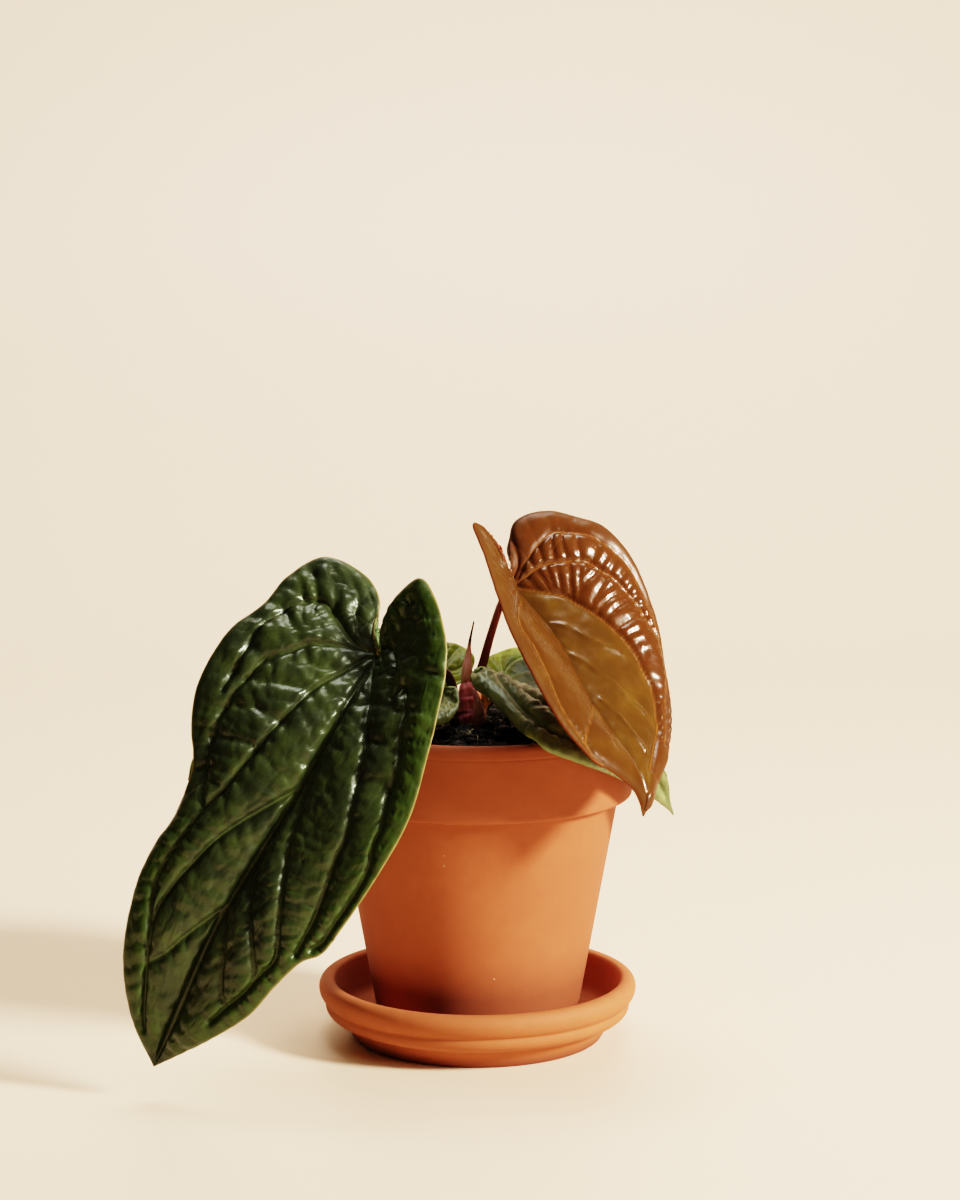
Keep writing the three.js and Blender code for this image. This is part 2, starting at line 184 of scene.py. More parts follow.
NEW_BRONZE_VEINS = {
    "left": [
        [(513, 590), (519, 615), (535, 650), (548, 676), (560, 705), (575, 730), (590, 752)],
        [(589, 702), (587, 731), (590, 752), (603, 765)],
    ],
    "right": [
        [(511, 589), (528, 591), (546, 594), (563, 596), (576, 604), (595, 615), (614, 631),
         (628, 646), (636, 661), (643, 675), (649, 688), (653, 700), (656, 716), (656, 734),
         (653, 751), (650, 770)],
        [(511, 588), (526, 578), (538, 570), (551, 565), (566, 563), (585, 564), (598, 573),
         (611, 582), (624, 596), (634, 608), (640, 619), (648, 631), (657, 648), (661, 675),
         (663, 710), (662, 745)],
        [(511, 587), (521, 572), (531, 555), (541, 543), (552, 535), (564, 535), (576, 536),
         (591, 540), (606, 550), (622, 565), (634, 585), (645, 610), (653, 630)],
    ],
}
NEW_BRONZE_SIDE_VEINS = {
    "left": [],
    "right": [
        [(563, 596), (580, 584), (598, 573)],
        [(595, 615), (606, 604), (624, 597)],
        [(615, 632), (625, 625), (639, 620)],
        [(549, 565), (553, 552), (564, 535)],
        [(586, 563), (590, 553), (598, 544)],
    ],
}
NEW_BRONZE_RIDGES = [
    [(549, 624), (560, 626), (573, 631), (585, 638), (600, 646), (612, 651), (622, 655)],
    [(560, 653), (580, 661), (591, 668), (602, 676), (611, 683), (620, 692), (629, 700),
     (638, 708), (646, 718)],
    [(600, 700), (618, 716), (632, 735), (644, 752)],
]


def linear(hex_colour):
    """An sRGB hex colour as linear RGBA."""
    channels = [int(hex_colour[place:place + 2], 16) / 255 for place in (1, 3, 5)]
    return [c / 12.92 if c <= 0.04045 else ((c + 0.055) / 1.055) ** 2.4 for c in channels] + [1]


def add_node(material, kind, inputs=None, stops=None, **settings):
    """Adds a node; each of its inputs gets a value, or a link if it is given another socket."""
    tree = material.node_tree
    made = tree.nodes.new(kind)
    for name, value in settings.items():
        setattr(made, name, value)
    for name, value in (inputs or {}).items():
        if isinstance(value, bpy.types.NodeSocket):
            tree.links.new(value, made.inputs[name])
        else:
            made.inputs[name].default_value = value
    for index, (place, colour) in enumerate(stops or []):
        elements = made.color_ramp.elements
        element = elements[index] if index < 2 else elements.new(place)
        element.position = place
        element.color = linear(colour) if isinstance(colour, str) else (colour, colour, colour, 1)
    return made


def new_material(name):
    """A material with a principled shader, and that shader."""
    material = bpy.data.materials.new(name)
    material.use_nodes = True
    return material, material.node_tree.nodes["Principled BSDF"]


def set_shader(shader, **values):
    """Sets sockets of a shader, named with _ for each space."""
    for name, value in values.items():
        shader.inputs[name.replace("_", " ")].default_value = value


def link(material, socket, target):
    """Links one socket of a material to another."""
    material.node_tree.links.new(socket, target)


def pattern_scale(size):
    """The scale at which a pattern's features are a size in millimetres on the real thing."""
    return 1 / (size * MM)


# Curves and the blades' surface

def curve_at(points, share):
    """Places on the smooth curve through some points, at shares from 0 to 1 of their count."""
    fixed = np.array(points, float)
    fixed = np.vstack([2 * fixed[0] - fixed[1], fixed, 2 * fixed[-1] - fixed[-2]])
    place = np.clip(share, 0, 1) * (len(points) - 1)
    index = np.minimum(place.astype(int), len(points) - 2)
    t = (place - index)[..., None]
    before, start, end, after = (fixed[index + offset] for offset in range(4))
    leave = (end - before) / 2
    arrive = (after - start) / 2
    cubic = 2 * start - 2 * end + leave + arrive
    square = 3 * end - 3 * start - 2 * leave - arrive
    return cubic * t**3 + square * t**2 + leave * t + start


def blade_sheet(blade, across, along):
    """Points of a flat-lying blade in millimetres. across is -1 at the left margin, 0 at the midrib
    and 1 at the right margin; along is -1 at the cut between the lobes, 0 level with the petiole
    and 1 at the tip."""
    sheet = np.zeros(across.shape + (3,))
    share = np.abs(across)[..., None]
    behind = along < 0
    ahead = np.clip(along, 0, 1)
    fade = np.where(behind, 1 - np.clip(-along, 0, 1) ** LOBE_FADE, 1 - ahead**TIP_FADE)[..., None]
    spine = curve_at(blade["midrib"], ahead**MIDRIB_PACE)
    for side, chosen in (("left", across < 0), ("right", across >= 0)):
        half = blade[side]
        lobe = half["lobe"]
        edge_share = np.where(behind, lobe * (1 + along), lobe + (1 - lobe) * ahead**MARGIN_PACE)
        edge = curve_at(half["margin"], edge_share)
        lift = np.array(half["lift"], float) * 4 * share * (1 - share) * fade
        sheet[chosen] = (spine + (edge - spine) * share + lift)[chosen]
    return sheet


def photo_pixels(points):
    """Where points in millimetres fall in the photograph."""
    pitch = math.radians(CAMERA_PITCH)
    offset = points - np.array(CAMERA_PLACE)
    depth = offset @ np.array([0, math.cos(pitch), -math.sin(pitch)])
    height = offset @ np.array([0, math.sin(pitch), math.cos(pitch)])
    focal = LENS / SENSOR * PICTURE[1]
    column = PICTURE[0] / 2 + focal * offset[..., 0] / depth
    row = PICTURE[1] / 2 - focal * height / depth
    return np.stack([column, row], -1)


def tree_of(points):
    tree = KDTree(len(points))
    for index, point in enumerate(points):
        tree.insert(point, index)
    tree.balance()
    return tree


def nearest(tree, points):
    """Distance to the nearest point of a tree, and that point's index, for each point."""
    found = [tree.find(point)[1:] for point in points]
    return np.array([distance for _, distance in found]), np.array([index for index, _ in found])


def smooth(low, high, value):
    share = np.clip((value - low) / (high - low), 0, 1)
    return share * share * (3 - 2 * share)


def rippled(points, size, octaves=2):
    """Soft noise about 0 at points in millimetres, with features of a size in millimetres."""
    return np.array([noise.fractal(Vector(point) / size, 1, 2, octaves) for point in points])


# Mesh helpers

MERGE = 0.04 * MM
SLIVER = 0.004 * MM


def grid_mesh(name, columns, rows, place):
    """A grid whose points are moved to place(x, y), in millimetres, for x and y from -1 to 1. place
    may also give values by name, which become attributes of the mesh."""
    bm = bmesh.new()
    bmesh.ops.create_grid(bm, x_segments=columns, y_segments=rows, size=1, calc_uvs=True)
    mesh = bpy.data.meshes.new(name)
    bm.to_mesh(mesh)
    bm.free()
    flat = np.zeros(len(mesh.vertices) * 3)
    mesh.vertices.foreach_get("co", flat)
    x, y = flat.reshape(-1, 3)[:, 0], flat.reshape(-1, 3)[:, 1]
    placed = place(x, y)
    points, values = placed if isinstance(placed, tuple) else (placed, {})
    mesh.vertices.foreach_set("co", (points * MM).ravel())
    for key, value in values.items():
        mesh.attributes.new(key, "FLOAT", "POINT").data.foreach_set("value", value)
    return mesh


def finished(name, mesh, materials, nodes=(), keep_sides=False):
    """A piece of the plant or pot from a mesh: clean, smooth, riding on the one body. Open sheets keep
    the upper side that they were made with."""
    bm = bmesh.new()
    bm.from_mesh(mesh)
    bmesh.ops.remove_doubles(bm, verts=bm.verts, dist=MERGE)
    bmesh.ops.dissolve_degenerate(bm, edges=bm.edges, dist=SLIVER)
    if not keep_sides:
        bmesh.ops.recalc_face_normals(bm, faces=bm.faces)
    for face in bm.faces:
        face.smooth = True
    bm.to_mesh(mesh)
    bm.free()
    piece = bpy.data.objects.new(name, mesh)
    bpy.context.scene.collection.objects.link(piece)
    for material in materials:
        mesh.materials.append(material)
    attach(piece, "root")
    if nodes:
        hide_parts(*nodes)
    return piece


# Stage: a pale seamless paper sweep, a soft key light low on the right, and pale surroundings

def build_stage():
    """A sheet of paper on the floor that bends up into the wall behind. Metres."""
    # Coated background paper: a warm pale sheet with a faint sheen, so the pot shows softly in it
    paper, shader = new_material("seamless_paper")
    set_shader(shader, Base_Color=linear("#efd4b5"), Roughness=0.42, IOR=1.4)
    bm = bmesh.new()
    floor_front, wall_foot, bend, wall_top, width = -1.6, 0.9, 0.7, 3.2, 6.4
    bend_steps = 12
    profile = [(floor_front, 0), (wall_foot, 0)]
    for step in range(1, bend_steps + 1):
        angle = step / bend_steps * math.pi / 2
        profile.append((wall_foot + bend * math.sin(angle), bend * (1 - math.cos(angle))))
    profile.append((wall_foot + bend, wall_top))
    line = [bm.verts.new((-width / 2, y, z)) for y, z in profile]
    edges = [bm.edges.new(pair) for pair in zip(line, line[1:])]
    made = bmesh.ops.extrude_edge_only(bm, edges=edges)["geom"]
    moved = [element for element in made if isinstance(element, bmesh.types.BMVert)]
    bmesh.ops.translate(bm, verts=moved, vec=(width, 0, 0))
    bmesh.ops.recalc_face_normals(bm, faces=bm.faces)
    for face in bm.faces:
        face.smooth = True
    mesh = bpy.data.meshes.new("paper_sweep")
    bm.to_mesh(mesh)
    bm.free()
    sweep = bpy.data.objects.new("paper_sweep", mesh)
    bpy.context.scene.collection.objects.link(sweep)
    mesh.materials.append(paper)


PLANT_MIDDLE = Vector((0, 0, 0.12))


def add_light(name, azimuth, elevation, distance, size, power, colour):
    """An area light that looks at the plant, from an azimuth to the right of the camera's side."""
    data = bpy.data.lights.new(name, "AREA")
    data.shape = "DISK"
    data.size = size
    data.energy = power
    data.color = linear(colour)[:3]
    lamp = bpy.data.objects.new(name, data)
    bpy.context.scene.collection.objects.link(lamp)
    turn, rise = math.radians(azimuth), math.radians(elevation)
    away = Vector((math.sin(turn) * math.cos(rise), -math.cos(turn) * math.cos(rise), math.sin(rise)))
    lamp.location = away * distance + PLANT_MIDDLE
    lamp.rotation_euler = away.to_track_quat("Z", "Y").to_euler()
    return lamp


def build_light():
    """A key light low on the right with a wider one beside it, a soft one overhead and one for the
    paper behind, in a dim warm room."""
    key = add_light("key", 63, 27, 2.6, 0.5, 82, "#fff6ea")
    key.data.spread = math.radians(100)
    add_light("soft_key", 48, 28, 2.6, 1.0, 26, "#fff0e0")
    add_light("overhead", 165, 78, 2.5, 2.0, 28, "#ffe4c4")
    backdrop = add_light("backdrop", 0, 0, 1, 1.2, 57, "#f4f8ff")
    backdrop.location = (0, 0.5, 2.2)
    backdrop.rotation_euler = (math.radians(40), 0, 0)
    world = bpy.data.worlds.new("pale_room")
    bpy.context.scene.world = world
    world.use_nodes = True
    background = world.node_tree.nodes["Background"]
    background.inputs["Color"].default_value = linear("#ffe6c8")
    background.inputs["Strength"].default_value = 0.03
    view = bpy.context.scene.view_settings
    view.view_transform = "Filmic"
    view.look = "High Contrast"
    view.exposure = -0.55


def build_camera():
    """The camera that took the photograph."""
    data = bpy.data.cameras.new("camera")
    data.lens = LENS
    data.sensor_width = SENSOR
    camera = bpy.data.objects.new("camera", data)
    bpy.context.scene.collection.objects.link(camera)
    camera.location = Vector(CAMERA_PLACE) * MM
    camera.rotation_euler = (math.radians(90 - CAMERA_PITCH), 0, 0)
    data.clip_end = 20
    bpy.context.scene.camera = camera


# Terracotta

SAUCER_PROFILE = [
    (0, 0), (56.5, 0), (57.3, 1), (61.2, 8.3), (62.2, 9.2), (66.3, 9.9), (68.8, 12), (69.5, 14.4),
    (69, 16.6), (70.4, 17.6), (71.9, 20), (72.4, 22.9), (71.6, 25.4), (69.6, 27), (67.2, 27.3),
    (65.4, 26.6), (64.6, 24), (62, 12), (60.5, 9.5), (57, 8), (0, 8),
]
POT_PROFILE = [
    (9, 8.3), (44.4, 8.3), (45.4, 9.5), (63.9, 112.3), (69.2, 112.3), (70, 113.5), (70, 139.8),
    (69.8, 140.5), (69.95, 141.3), (69.5, 144.6), (68, 146.4), (64.6, 146.4), (63.2, 145),
    (39.5, 17), (9, 17), (9, 8.3),
]
CORNER = 1.2


def rounded(profile, radius, steps=3):
    """A profile with each inner corner cut back by a radius and rounded."""
    outline = [profile[0]]
    for before, corner, after in zip(profile, profile[1:], profile[2:]):
        corner = Vector(corner)
        ends = []
        for other in (Vector(before), Vector(after)):
            reach = min(radius, (other - corner).length * 0.45)
            ends.append(corner + (other - corner).normalized() * reach)
        for step in range(steps + 1):
            t = step / steps
            point = ends[0] * (1 - t) ** 2 + corner * 2 * t * (1 - t) + ends[1] * t * t
            outline.append(tuple(point))
    return outline + [profile[-1]]


def spun(name, profile, steps=160):
    """A body turned round the upright axis from a profile in millimetres."""
    bm = bmesh.new()
    line = [bm.verts.new((radius * MM, 0, height * MM)) for radius, height in profile]
    edges = [bm.edges.new(pair) for pair in zip(line, line[1:])]
    bmesh.ops.spin(bm, geom=line + edges, cent=(0, 0, 0), axis=(0, 0, 1), dvec=(0, 0, 0),
                   angle=2 * math.pi, steps=steps, use_merge=True)
    bmesh.ops.remove_doubles(bm, verts=bm.verts, dist=0.00001)
    bmesh.ops.recalc_face_normals(bm, faces=bm.faces)
    mesh = bpy.data.meshes.new(name)
    bm.to_mesh(mesh)
    bm.free()
    return mesh


def terracotta(name, damp_and_shade_top, fired, paler, mottled):
    """Unglazed terracotta, fired and turned: matt orange clay that spreads light softly, with cloudy
    patches, fine grit, a few chalky specks and a darker foot up to a height in millimetres, which is
    partly damp clay and partly painted shade low down."""
    material, shader = new_material(name)
    place = add_node(material, "ShaderNodeTexCoord").outputs["Object"]
    clouds = add_node(material, "ShaderNodeTexNoise", {"Vector": place, "Detail": 4,
                      "Scale": pattern_scale(45.5)})
    mottle = add_node(material, "ShaderNodeTexNoise", {"Vector": place, "Detail": 5,
                      "Scale": pattern_scale(6.25)})
    base = add_node(material, "ShaderNodeValToRGB", {"Fac": clouds.outputs["Fac"]},
                    stops=[(0.3, fired), (0.7, paler)])
    mixed = add_node(material, "ShaderNodeMix", {0: mottle.outputs["Fac"], 6: base.outputs["Color"],
                     7: linear(mottled)}, data_type="RGBA")
    height = add_node(material, "ShaderNodeSeparateXYZ", {"Vector": place})
    # Darker towards the foot: partly damp clay, partly painted shade where little light reaches low down
    damp_and_shade_share = add_node(material, "ShaderNodeMapRange", {"Value": height.outputs["Z"],
                   "From Min": damp_and_shade_top * MM, "From Max": 0.2 * damp_and_shade_top * MM,
                   "To Min": 0, "To Max": 0.95}, clamp=True)
    damp_and_shaded = add_node(material, "ShaderNodeMix", {0: damp_and_shade_share.outputs["Result"], 6: mixed.outputs[2],
                    7: linear("#6e3219")}, data_type="RGBA")
    spots = add_node(material, "ShaderNodeTexVoronoi", {"Vector": place,
                     "Scale": pattern_scale(13.33)})
    speck = add_node(material, "ShaderNodeMapRange", {"Value": spots.outputs["Distance"],
                     "From Min": 0.03, "From Max": 0.05, "To Min": 0.7, "To Max": 0}, clamp=True)
    some = add_node(material, "ShaderNodeMath", {0: clouds.outputs["Fac"], 1: 0.58},
                    operation="GREATER_THAN")
    shown = add_node(material, "ShaderNodeMath", {0: speck.outputs["Result"], 1: some.outputs[0]},
                     operation="MULTIPLY")
    chalky = add_node(material, "ShaderNodeMix", {0: shown.outputs[0], 6: damp_and_shaded.outputs[2],
                      7: linear("#e0a888")}, data_type="RGBA")
    link(material, chalky.outputs[2], shader.inputs["Base Color"])
    grit = add_node(material, "ShaderNodeTexNoise", {"Vector": place, "Detail": 3,
                    "Scale": pattern_scale(0.714)})
    bump = add_node(material, "ShaderNodeBump", {"Height": grit.outputs["Fac"], "Strength": 0.25,
                    "Distance": 0.2 * MM})
    link(material, bump.outputs["Normal"], shader.inputs["Normal"])
    set_shader(shader, Roughness=0.8, IOR=1.45)
    return material


def build_terracotta():
    """The pot and the saucer, turned from their profiles; the saucer's clay is paler."""
    clay = terracotta("terracotta_pot", 48, "#9c4e2e", "#aa5a36", "#964d2c")
    pot = spun("pot_clay", rounded(POT_PROFILE, CORNER))
    finished("pot_body", pot, [clay], ["pot"])
    clay = terracotta("terracotta_saucer", 6, "#a55832", "#b2623a", "#9c5430")
    saucer = spun("saucer_clay", rounded(SAUCER_PROFILE, CORNER))
    finished("saucer_body", saucer, [clay], ["saucer"])


# Blades

def blade_veins(blade, side, lines):
    """Vein lines traced in the photograph, as smooth lines on one half of a blade."""
    across, along = np.meshgrid(np.linspace(0.004, 1, 120), np.linspace(-0.99, 1, 260))
    across, along = across.ravel(), along.ravel()
    if side == "left":
        across = -across
    seen = photo_pixels(blade_sheet(blade, across, along))
    tree = tree_of([(column, row, 0) for column, row in seen])
    placed = []
    for line in lines:
        _, found = nearest(tree, [(column, row, 0) for column, row in line])
        placed.append([(across[index], along[index]) for index in found])
    return placed


def line_points(blade, line, spacing=0.5):
    """Points close together on the sheet along a line of (across, along) places."""
    rough = curve_at(line, np.linspace(0, 1, 40))
    points = blade_sheet(blade, rough[:, 0], rough[:, 1])
    length = np.linalg.norm(np.diff(points, axis=0), axis=1).sum()
    fine = curve_at(line, np.linspace(0, 1, max(4, int(length / spacing))))
    return blade_sheet(blade, fine[:, 0], fine[:, 1])


def distance_to(blade, lines, points):
    """Distance of each point to the nearest of some lines, or far away where there are none."""
    if not lines:
        return np.full(len(points), 99.0)
    dense = np.vstack([line_points(blade, line) for line in lines])
    return nearest(tree_of(dense), points)[0]


def vein_fields(blade, lines, points):
    """How far each point is from each of some lines, and how far along the line that is."""
    gaps, runs = [], []
    for line in lines:
        spots = line_points(blade, line)
        steps = np.linalg.norm(np.diff(spots, axis=0), axis=1)
        gap, index = nearest(tree_of(spots), points)
        gaps.append(gap)
        runs.append(np.concatenate([[0], np.cumsum(steps)])[index])
    return np.array(gaps), np.array(runs)


VEIN_OFFSET = 0.37
PILLOW_FULLNESS = 0.6


def cross_pillows(gaps, runs, spacing, slant, guide):
    """Height of the pillows between cross veins, from 0 in such a vein to 1. They are counted along
    the guide vein or, without one, along the two nearest veins."""
    order = np.arange(len(gaps))[:, None]
    turns = (runs - slant * gaps) / spacing + VEIN_OFFSET * order
    wave = np.abs(np.sin(math.pi * turns)) ** PILLOW_FULLNESS
    if guide is not None:
        return wave[guide]
    pair = np.argsort(gaps, axis=0)[:2]
    near, far = np.take_along_axis(gaps, pair, 0)
    first, second = np.take_along_axis(wave, pair, 0)
    return (far * first + near * second) / (near + far + 1e-6)


def beyond(blade, line, points, normals, turn):
    """How far points lie on the margin's side of a vein; less than 0 on the midrib's side."""
    spots = line_points(blade, line)
    index = nearest(tree_of(spots), points)[1]
    ahead = np.gradient(spots, axis=0)[index]
    outside = np.einsum("ij,ij->i", np.cross(ahead, points - spots[index]), normals)
    return turn * outside / np.linalg.norm(ahead, axis=1)


CELL_TRIES = 9000


def cell_middles(blade, spacing, seed):
    """Middles of the small cells between the finest veins, at least a spacing apart."""
    chance = np.random.default_rng(seed)
    across, along = chance.uniform(-1, 1, (2, CELL_TRIES))
    points = blade_sheet(blade, across, along)
    kept = points[:1]
    for point in points[1:]:
        if np.linalg.norm(kept - point, axis=1).min() > spacing:
            kept = np.vstack([kept, point])
    return kept


def cell_edges(middles, points):
    """How much further the second nearest cell's middle is than the nearest, for each point."""
    tree = tree_of(middles)
    found = [tree.find_n(point, 2) for point in points]
    return np.array([second[2] - first[2] for first, second in found])


# How the skins of all blades are quilted: sizes in millimetres, the others as shares

LOBE_END = 0.995  # how far the mesh reaches into the cut between the lobes
MARGIN_POINTS = 1200
WANDER_SIZE = 14  # waves in which cross veins stray from their even spacing
HUB_RADIUS = 16  # round the petiole's joint, where the main veins meet
HUB_FLATNESS = 0.8
CROSS_ROOM = 0.5  # of a valley's width, over which cross pillows end at a main vein
CELL_SEED = 5
CELL_EDGE = 0.28  # of a cell's size, over which its edge rises
RIDGE_HEIGHT = 0.7
RIDGE_WIDTH = 1.0
CUP_RAMP = 9  # over which the zone between inner and outer vein lifts
VEIN_EASE = 0.8  # over which one side of a vein turns into the other
ROLL_BACK = 0.85  # of the quilting, lost at the rolled margin
RIM_WIDTH = 0.5
RIM_RIBS_END = (6, 14)  # from the margin, between which its stronger ribs end
PAINTED_GLOW_START = 4  # from the margin, where its tone starts to fade
CUT_FADE = 0.12
TIP_START = 0.93
PLAIN_HALF = {"guide": None, "ridges": [], "rim_ribs": 0, "relief": 1, "outer": 0, "painted_shade": 0,
              "shine": 1}


def sheet_normals(blade, across, along):
    """Unit normals of the sheet, out of the leaf's upper side."""
    step = 0.004
    forward = blade_sheet(blade, across, np.minimum(along + step, 1)) - blade_sheet(
        blade, across, np.maximum(along - step, -1))
    outward = blade_sheet(blade, np.minimum(across + step, 1), along) - blade_sheet(
        blade, np.maximum(across - step, -1), along)
    normal = np.cross(forward, outward)
    return normal / np.maximum(np.linalg.norm(normal, axis=1), 1e-9)[:, None]


def half_fields(blade, look, half, sign, sheet, normal, wander):
    """What shapes and colours one half of a blade, as values at that half's points."""
    midrib = [(0, 0), (0, 0.5), (0, 1)]
    gaps, runs = vein_fields(blade, half["veins"] + [midrib], sheet)
    margin = blade_sheet(blade, np.full(MARGIN_POINTS, sign * 1.0), np.linspace(-1, 1, MARGIN_POINTS))
    rim = nearest(tree_of(margin), sheet)[0]
    runs = runs + wander * look["stray"]
    cross = cross_pillows(gaps, runs, half["spacing"], look["slant"], half["guide"])
    between = half["cross"] * (1 + half["rim_ribs"] * (1 - smooth(*RIM_RIBS_END, rim)))
    outer, ramp = np.full(len(sheet), half["outer"], float), np.zeros(len(sheet))
    if "inner_vein" in half:
        inner, lip = (beyond(blade, half["veins"][half[vein]], sheet, normal, sign)
                      for vein in ("inner_vein", "outer_vein"))
        outer = smooth(-VEIN_EASE, VEIN_EASE, inner)
        ramp = np.clip(inner / CUP_RAMP, 0, 1)
        between = between * outer * (1 - 0.8 * smooth(-VEIN_EASE, VEIN_EASE, lip))
    return {
        "main": gaps.min(axis=0), "side_vein": distance_to(blade, half["side_veins"], sheet),
        "ridge": distance_to(blade, half["ridges"], sheet), "rim": rim, "cross": cross * between,
        "outer": outer, "ramp": ramp, "relief": half["relief"], "painted_shade": half["painted_shade"],
        "shine": half["shine"],
    }


def quilted_height(look, sheet, along, fields, hub, cell_swell):
    """How far a blade's skin stands above its flat sheet, in millimetres."""
    main = fields["main"]
    room = 1 - np.exp(-((main / (CROSS_ROOM * look["valley_width"])) ** 2))
    height = look["pillow"] * (0.5 - np.exp(-main / look["valley_width"])) * (1 - HUB_FLATNESS * hub)
    height += look["side_pillow"] * (1 - np.exp(-fields["side_vein"] / look["side_width"]))
    height += fields["cross"] * room
    height += look["cell_pillow"] * cell_swell * room
    height *= fields["relief"]
    height += look["pucker"] * rippled(sheet, look["pucker_size"], 2) * room
    broken = np.clip(0.9 + rippled(sheet, 5, 1), 0, 1)
    height += RIDGE_HEIGHT * np.exp(-((fields["ridge"] / RIDGE_WIDTH) ** 2)) * broken
    height += look["cup"] * fields["ramp"] - look["sink"]
    rolled = 1 - ROLL_BACK * np.exp(-fields["rim"] / look["roll"])
    fade = smooth(0, CUT_FADE, along + 1) * (1 - smooth(TIP_START, 1, along))
    return height * rolled * fade


def blade_mesh(name, blade, look):
    """A blade as a fine sheet with sunken veins, pillows between them and a margin that rolls back."""
    def place(x, y):
        knee = 2 * look["lobe_rows"] - 1
        along = np.where(y < knee, -LOBE_END * (knee - y) / (1 + knee), (y - knee) / (1 - knee))
        across = -x
        sheet = blade_sheet(blade, across, along)
        normal = sheet_normals(blade, across, along)
        wander = rippled(sheet, WANDER_SIZE)
        fields = {}
        for side, sign, chosen in (("left", -1, across < 0), ("right", 1, across >= 0)):
            half = {**PLAIN_HALF, **look[side]}
            found = half_fields(blade, look, half, sign, sheet[chosen], normal[chosen], wander[chosen])
            for key, value in found.items():
                fields.setdefault(key, np.zeros(len(x)))[chosen] = value
        rim, outer = fields["rim"], fields["outer"]
        # On these leaves the outer tone is a painted glow of light through the thin margin and lobe
        if "painted_glow_zone" in look:
            near_rim = 1 - smooth(PAINTED_GLOW_START, look["painted_glow_reach"], rim)
            outer = near_rim * look["painted_glow_zone"](across, along)
        hub = np.exp(-((np.linalg.norm(sheet - np.array(blade["midrib"][0]), axis=1) / HUB_RADIUS) ** 2))
        cells = cell_edges(cell_middles(blade, look["cell"], CELL_SEED), sheet)
        cell_swell = 1 - np.exp(-cells / (CELL_EDGE * look["cell"]))
        height = quilted_height(look, sheet, along, fields, hub, cell_swell)
        values = {
            "vein": np.exp(-((fields["main"] / look["vein_width"]) ** 2)),
            "side_vein": np.exp(-((fields["side_vein"] / (0.7 * look["vein_width"])) ** 2)),
            "rim": np.exp(-((rim / RIM_WIDTH) ** 2)),
            # The outer tone: the young leaf's own redder margin, a painted glow on the other leaves
            "outer": outer,
            "tip": smooth(TIP_START, 0.98, along),
            "cell": 1 - cell_swell,
            # Painted shadow on the halves that lie in shade, left off where the outer tone shows
            "painted_shade": fields["painted_shade"] * (1 - outer),
            "shine": fields["shine"] * (1 - 0.6 * look["rim_matte"] * np.exp(-((rim / 3) ** 2))),
            "gloss": (1 - look["hub_matte"] * hub) * (1 - look["rim_matte"] * np.exp(-((rim / 4) ** 2))),
        }
        return sheet + normal * height[:, None], values

    return grid_mesh(name, look["columns"], look["rows"], place)


# Colours of a leaf's parts; the mesh says where each part is, and the last number how fully it shows.
# The shade tone is painted shadow, the pale rim is painted light caught along the edge, and the outer
# tone is the young leaf's own redder margin but a painted glow of light through the blade on the others
TONES = ("deep", "light", "patch", "outer", "vein", "rim", "painted_shade_tone")
TISSUE_PARTS = [("painted_shade", "painted_shade_tone", 0.85), ("outer", "outer", 0.7), ("cell", "deep", 0.4),
                ("side_vein", "vein", 0.35), ("vein", "vein", 0.8), ("rim", "rim", 0.9),
                ("tip", "deep", 0.8)]
LEAF_SKINS = {
    # Thick, waxy skin of an old leaf: nearly black green, with small clear lights on each pillow; its
    # brighter green outer tone is a painted glow of light through the thin margin
    "mature_leaf_skin": {
        "tones": ("#212717", "#29311a", "#323b1d", "#2c3c10", "#424a28", "#8a7a46", "#1a2108"),
        "roughness": 0.3, "tint": "#e6f5dc", "matte": 0.25},
    # Its back has no wax: dull, paler green with light veins
    "mature_leaf_underside": {
        "tones": ("#4a6236", "#56703e", "#627c48", "#5a7a3a", "#8a9a5a", "#9a8a4e", "#1a2108"),
        "roughness": 0.6},
    # Thin, taut skin of a leaf a few days old: copper brown and as shiny as lacquer, with a painted
    # shade tone for its narrow left strip
    "young_leaf_skin": {
        "tones": ("#442c10", "#4b3112", "#543b17", "#4e2611", "#7a4c26", "#6a341a", "#2e1a06"),
        "roughness": 0.2, "wrinkles": 0.05, "tint": "#ffe8d8", "matte": 0.35},
    # Its back is duller and redder, with a light sheen
    "young_leaf_underside": {
        "tones": ("#743c2a", "#7d4530", "#884e38", "#7c3e2c", "#a87656", "#90522e", "#1a2108"),
        "roughness": 0.45, "coat": 0.1, "wrinkles": 0.1},
    # Satin skin of the small low leaves: grey green in front, painted paler than its own colour to stand
    # in for soft light there; its yellow green outer tone is a painted glow of light through the far
    # lobe, and its shade tone paints the far halves' shade
    "low_leaf_skin": {
        "tones": ("#4c5430", "#666c42", "#7c8250", "#8c961e", "#848e58", "#7a8a5a", "#1a2108"),
        "roughness": 0.36, "tint": "#e4f5d8"},
    # Their dull backs, in the yellow green of young growth
    "low_leaf_underside": {
        "tones": ("#5e7638", "#6c823e", "#7a9048", "#728840", "#98a456", "#8a9a6a", "#1a2108"),
        "roughness": 0.6},
}


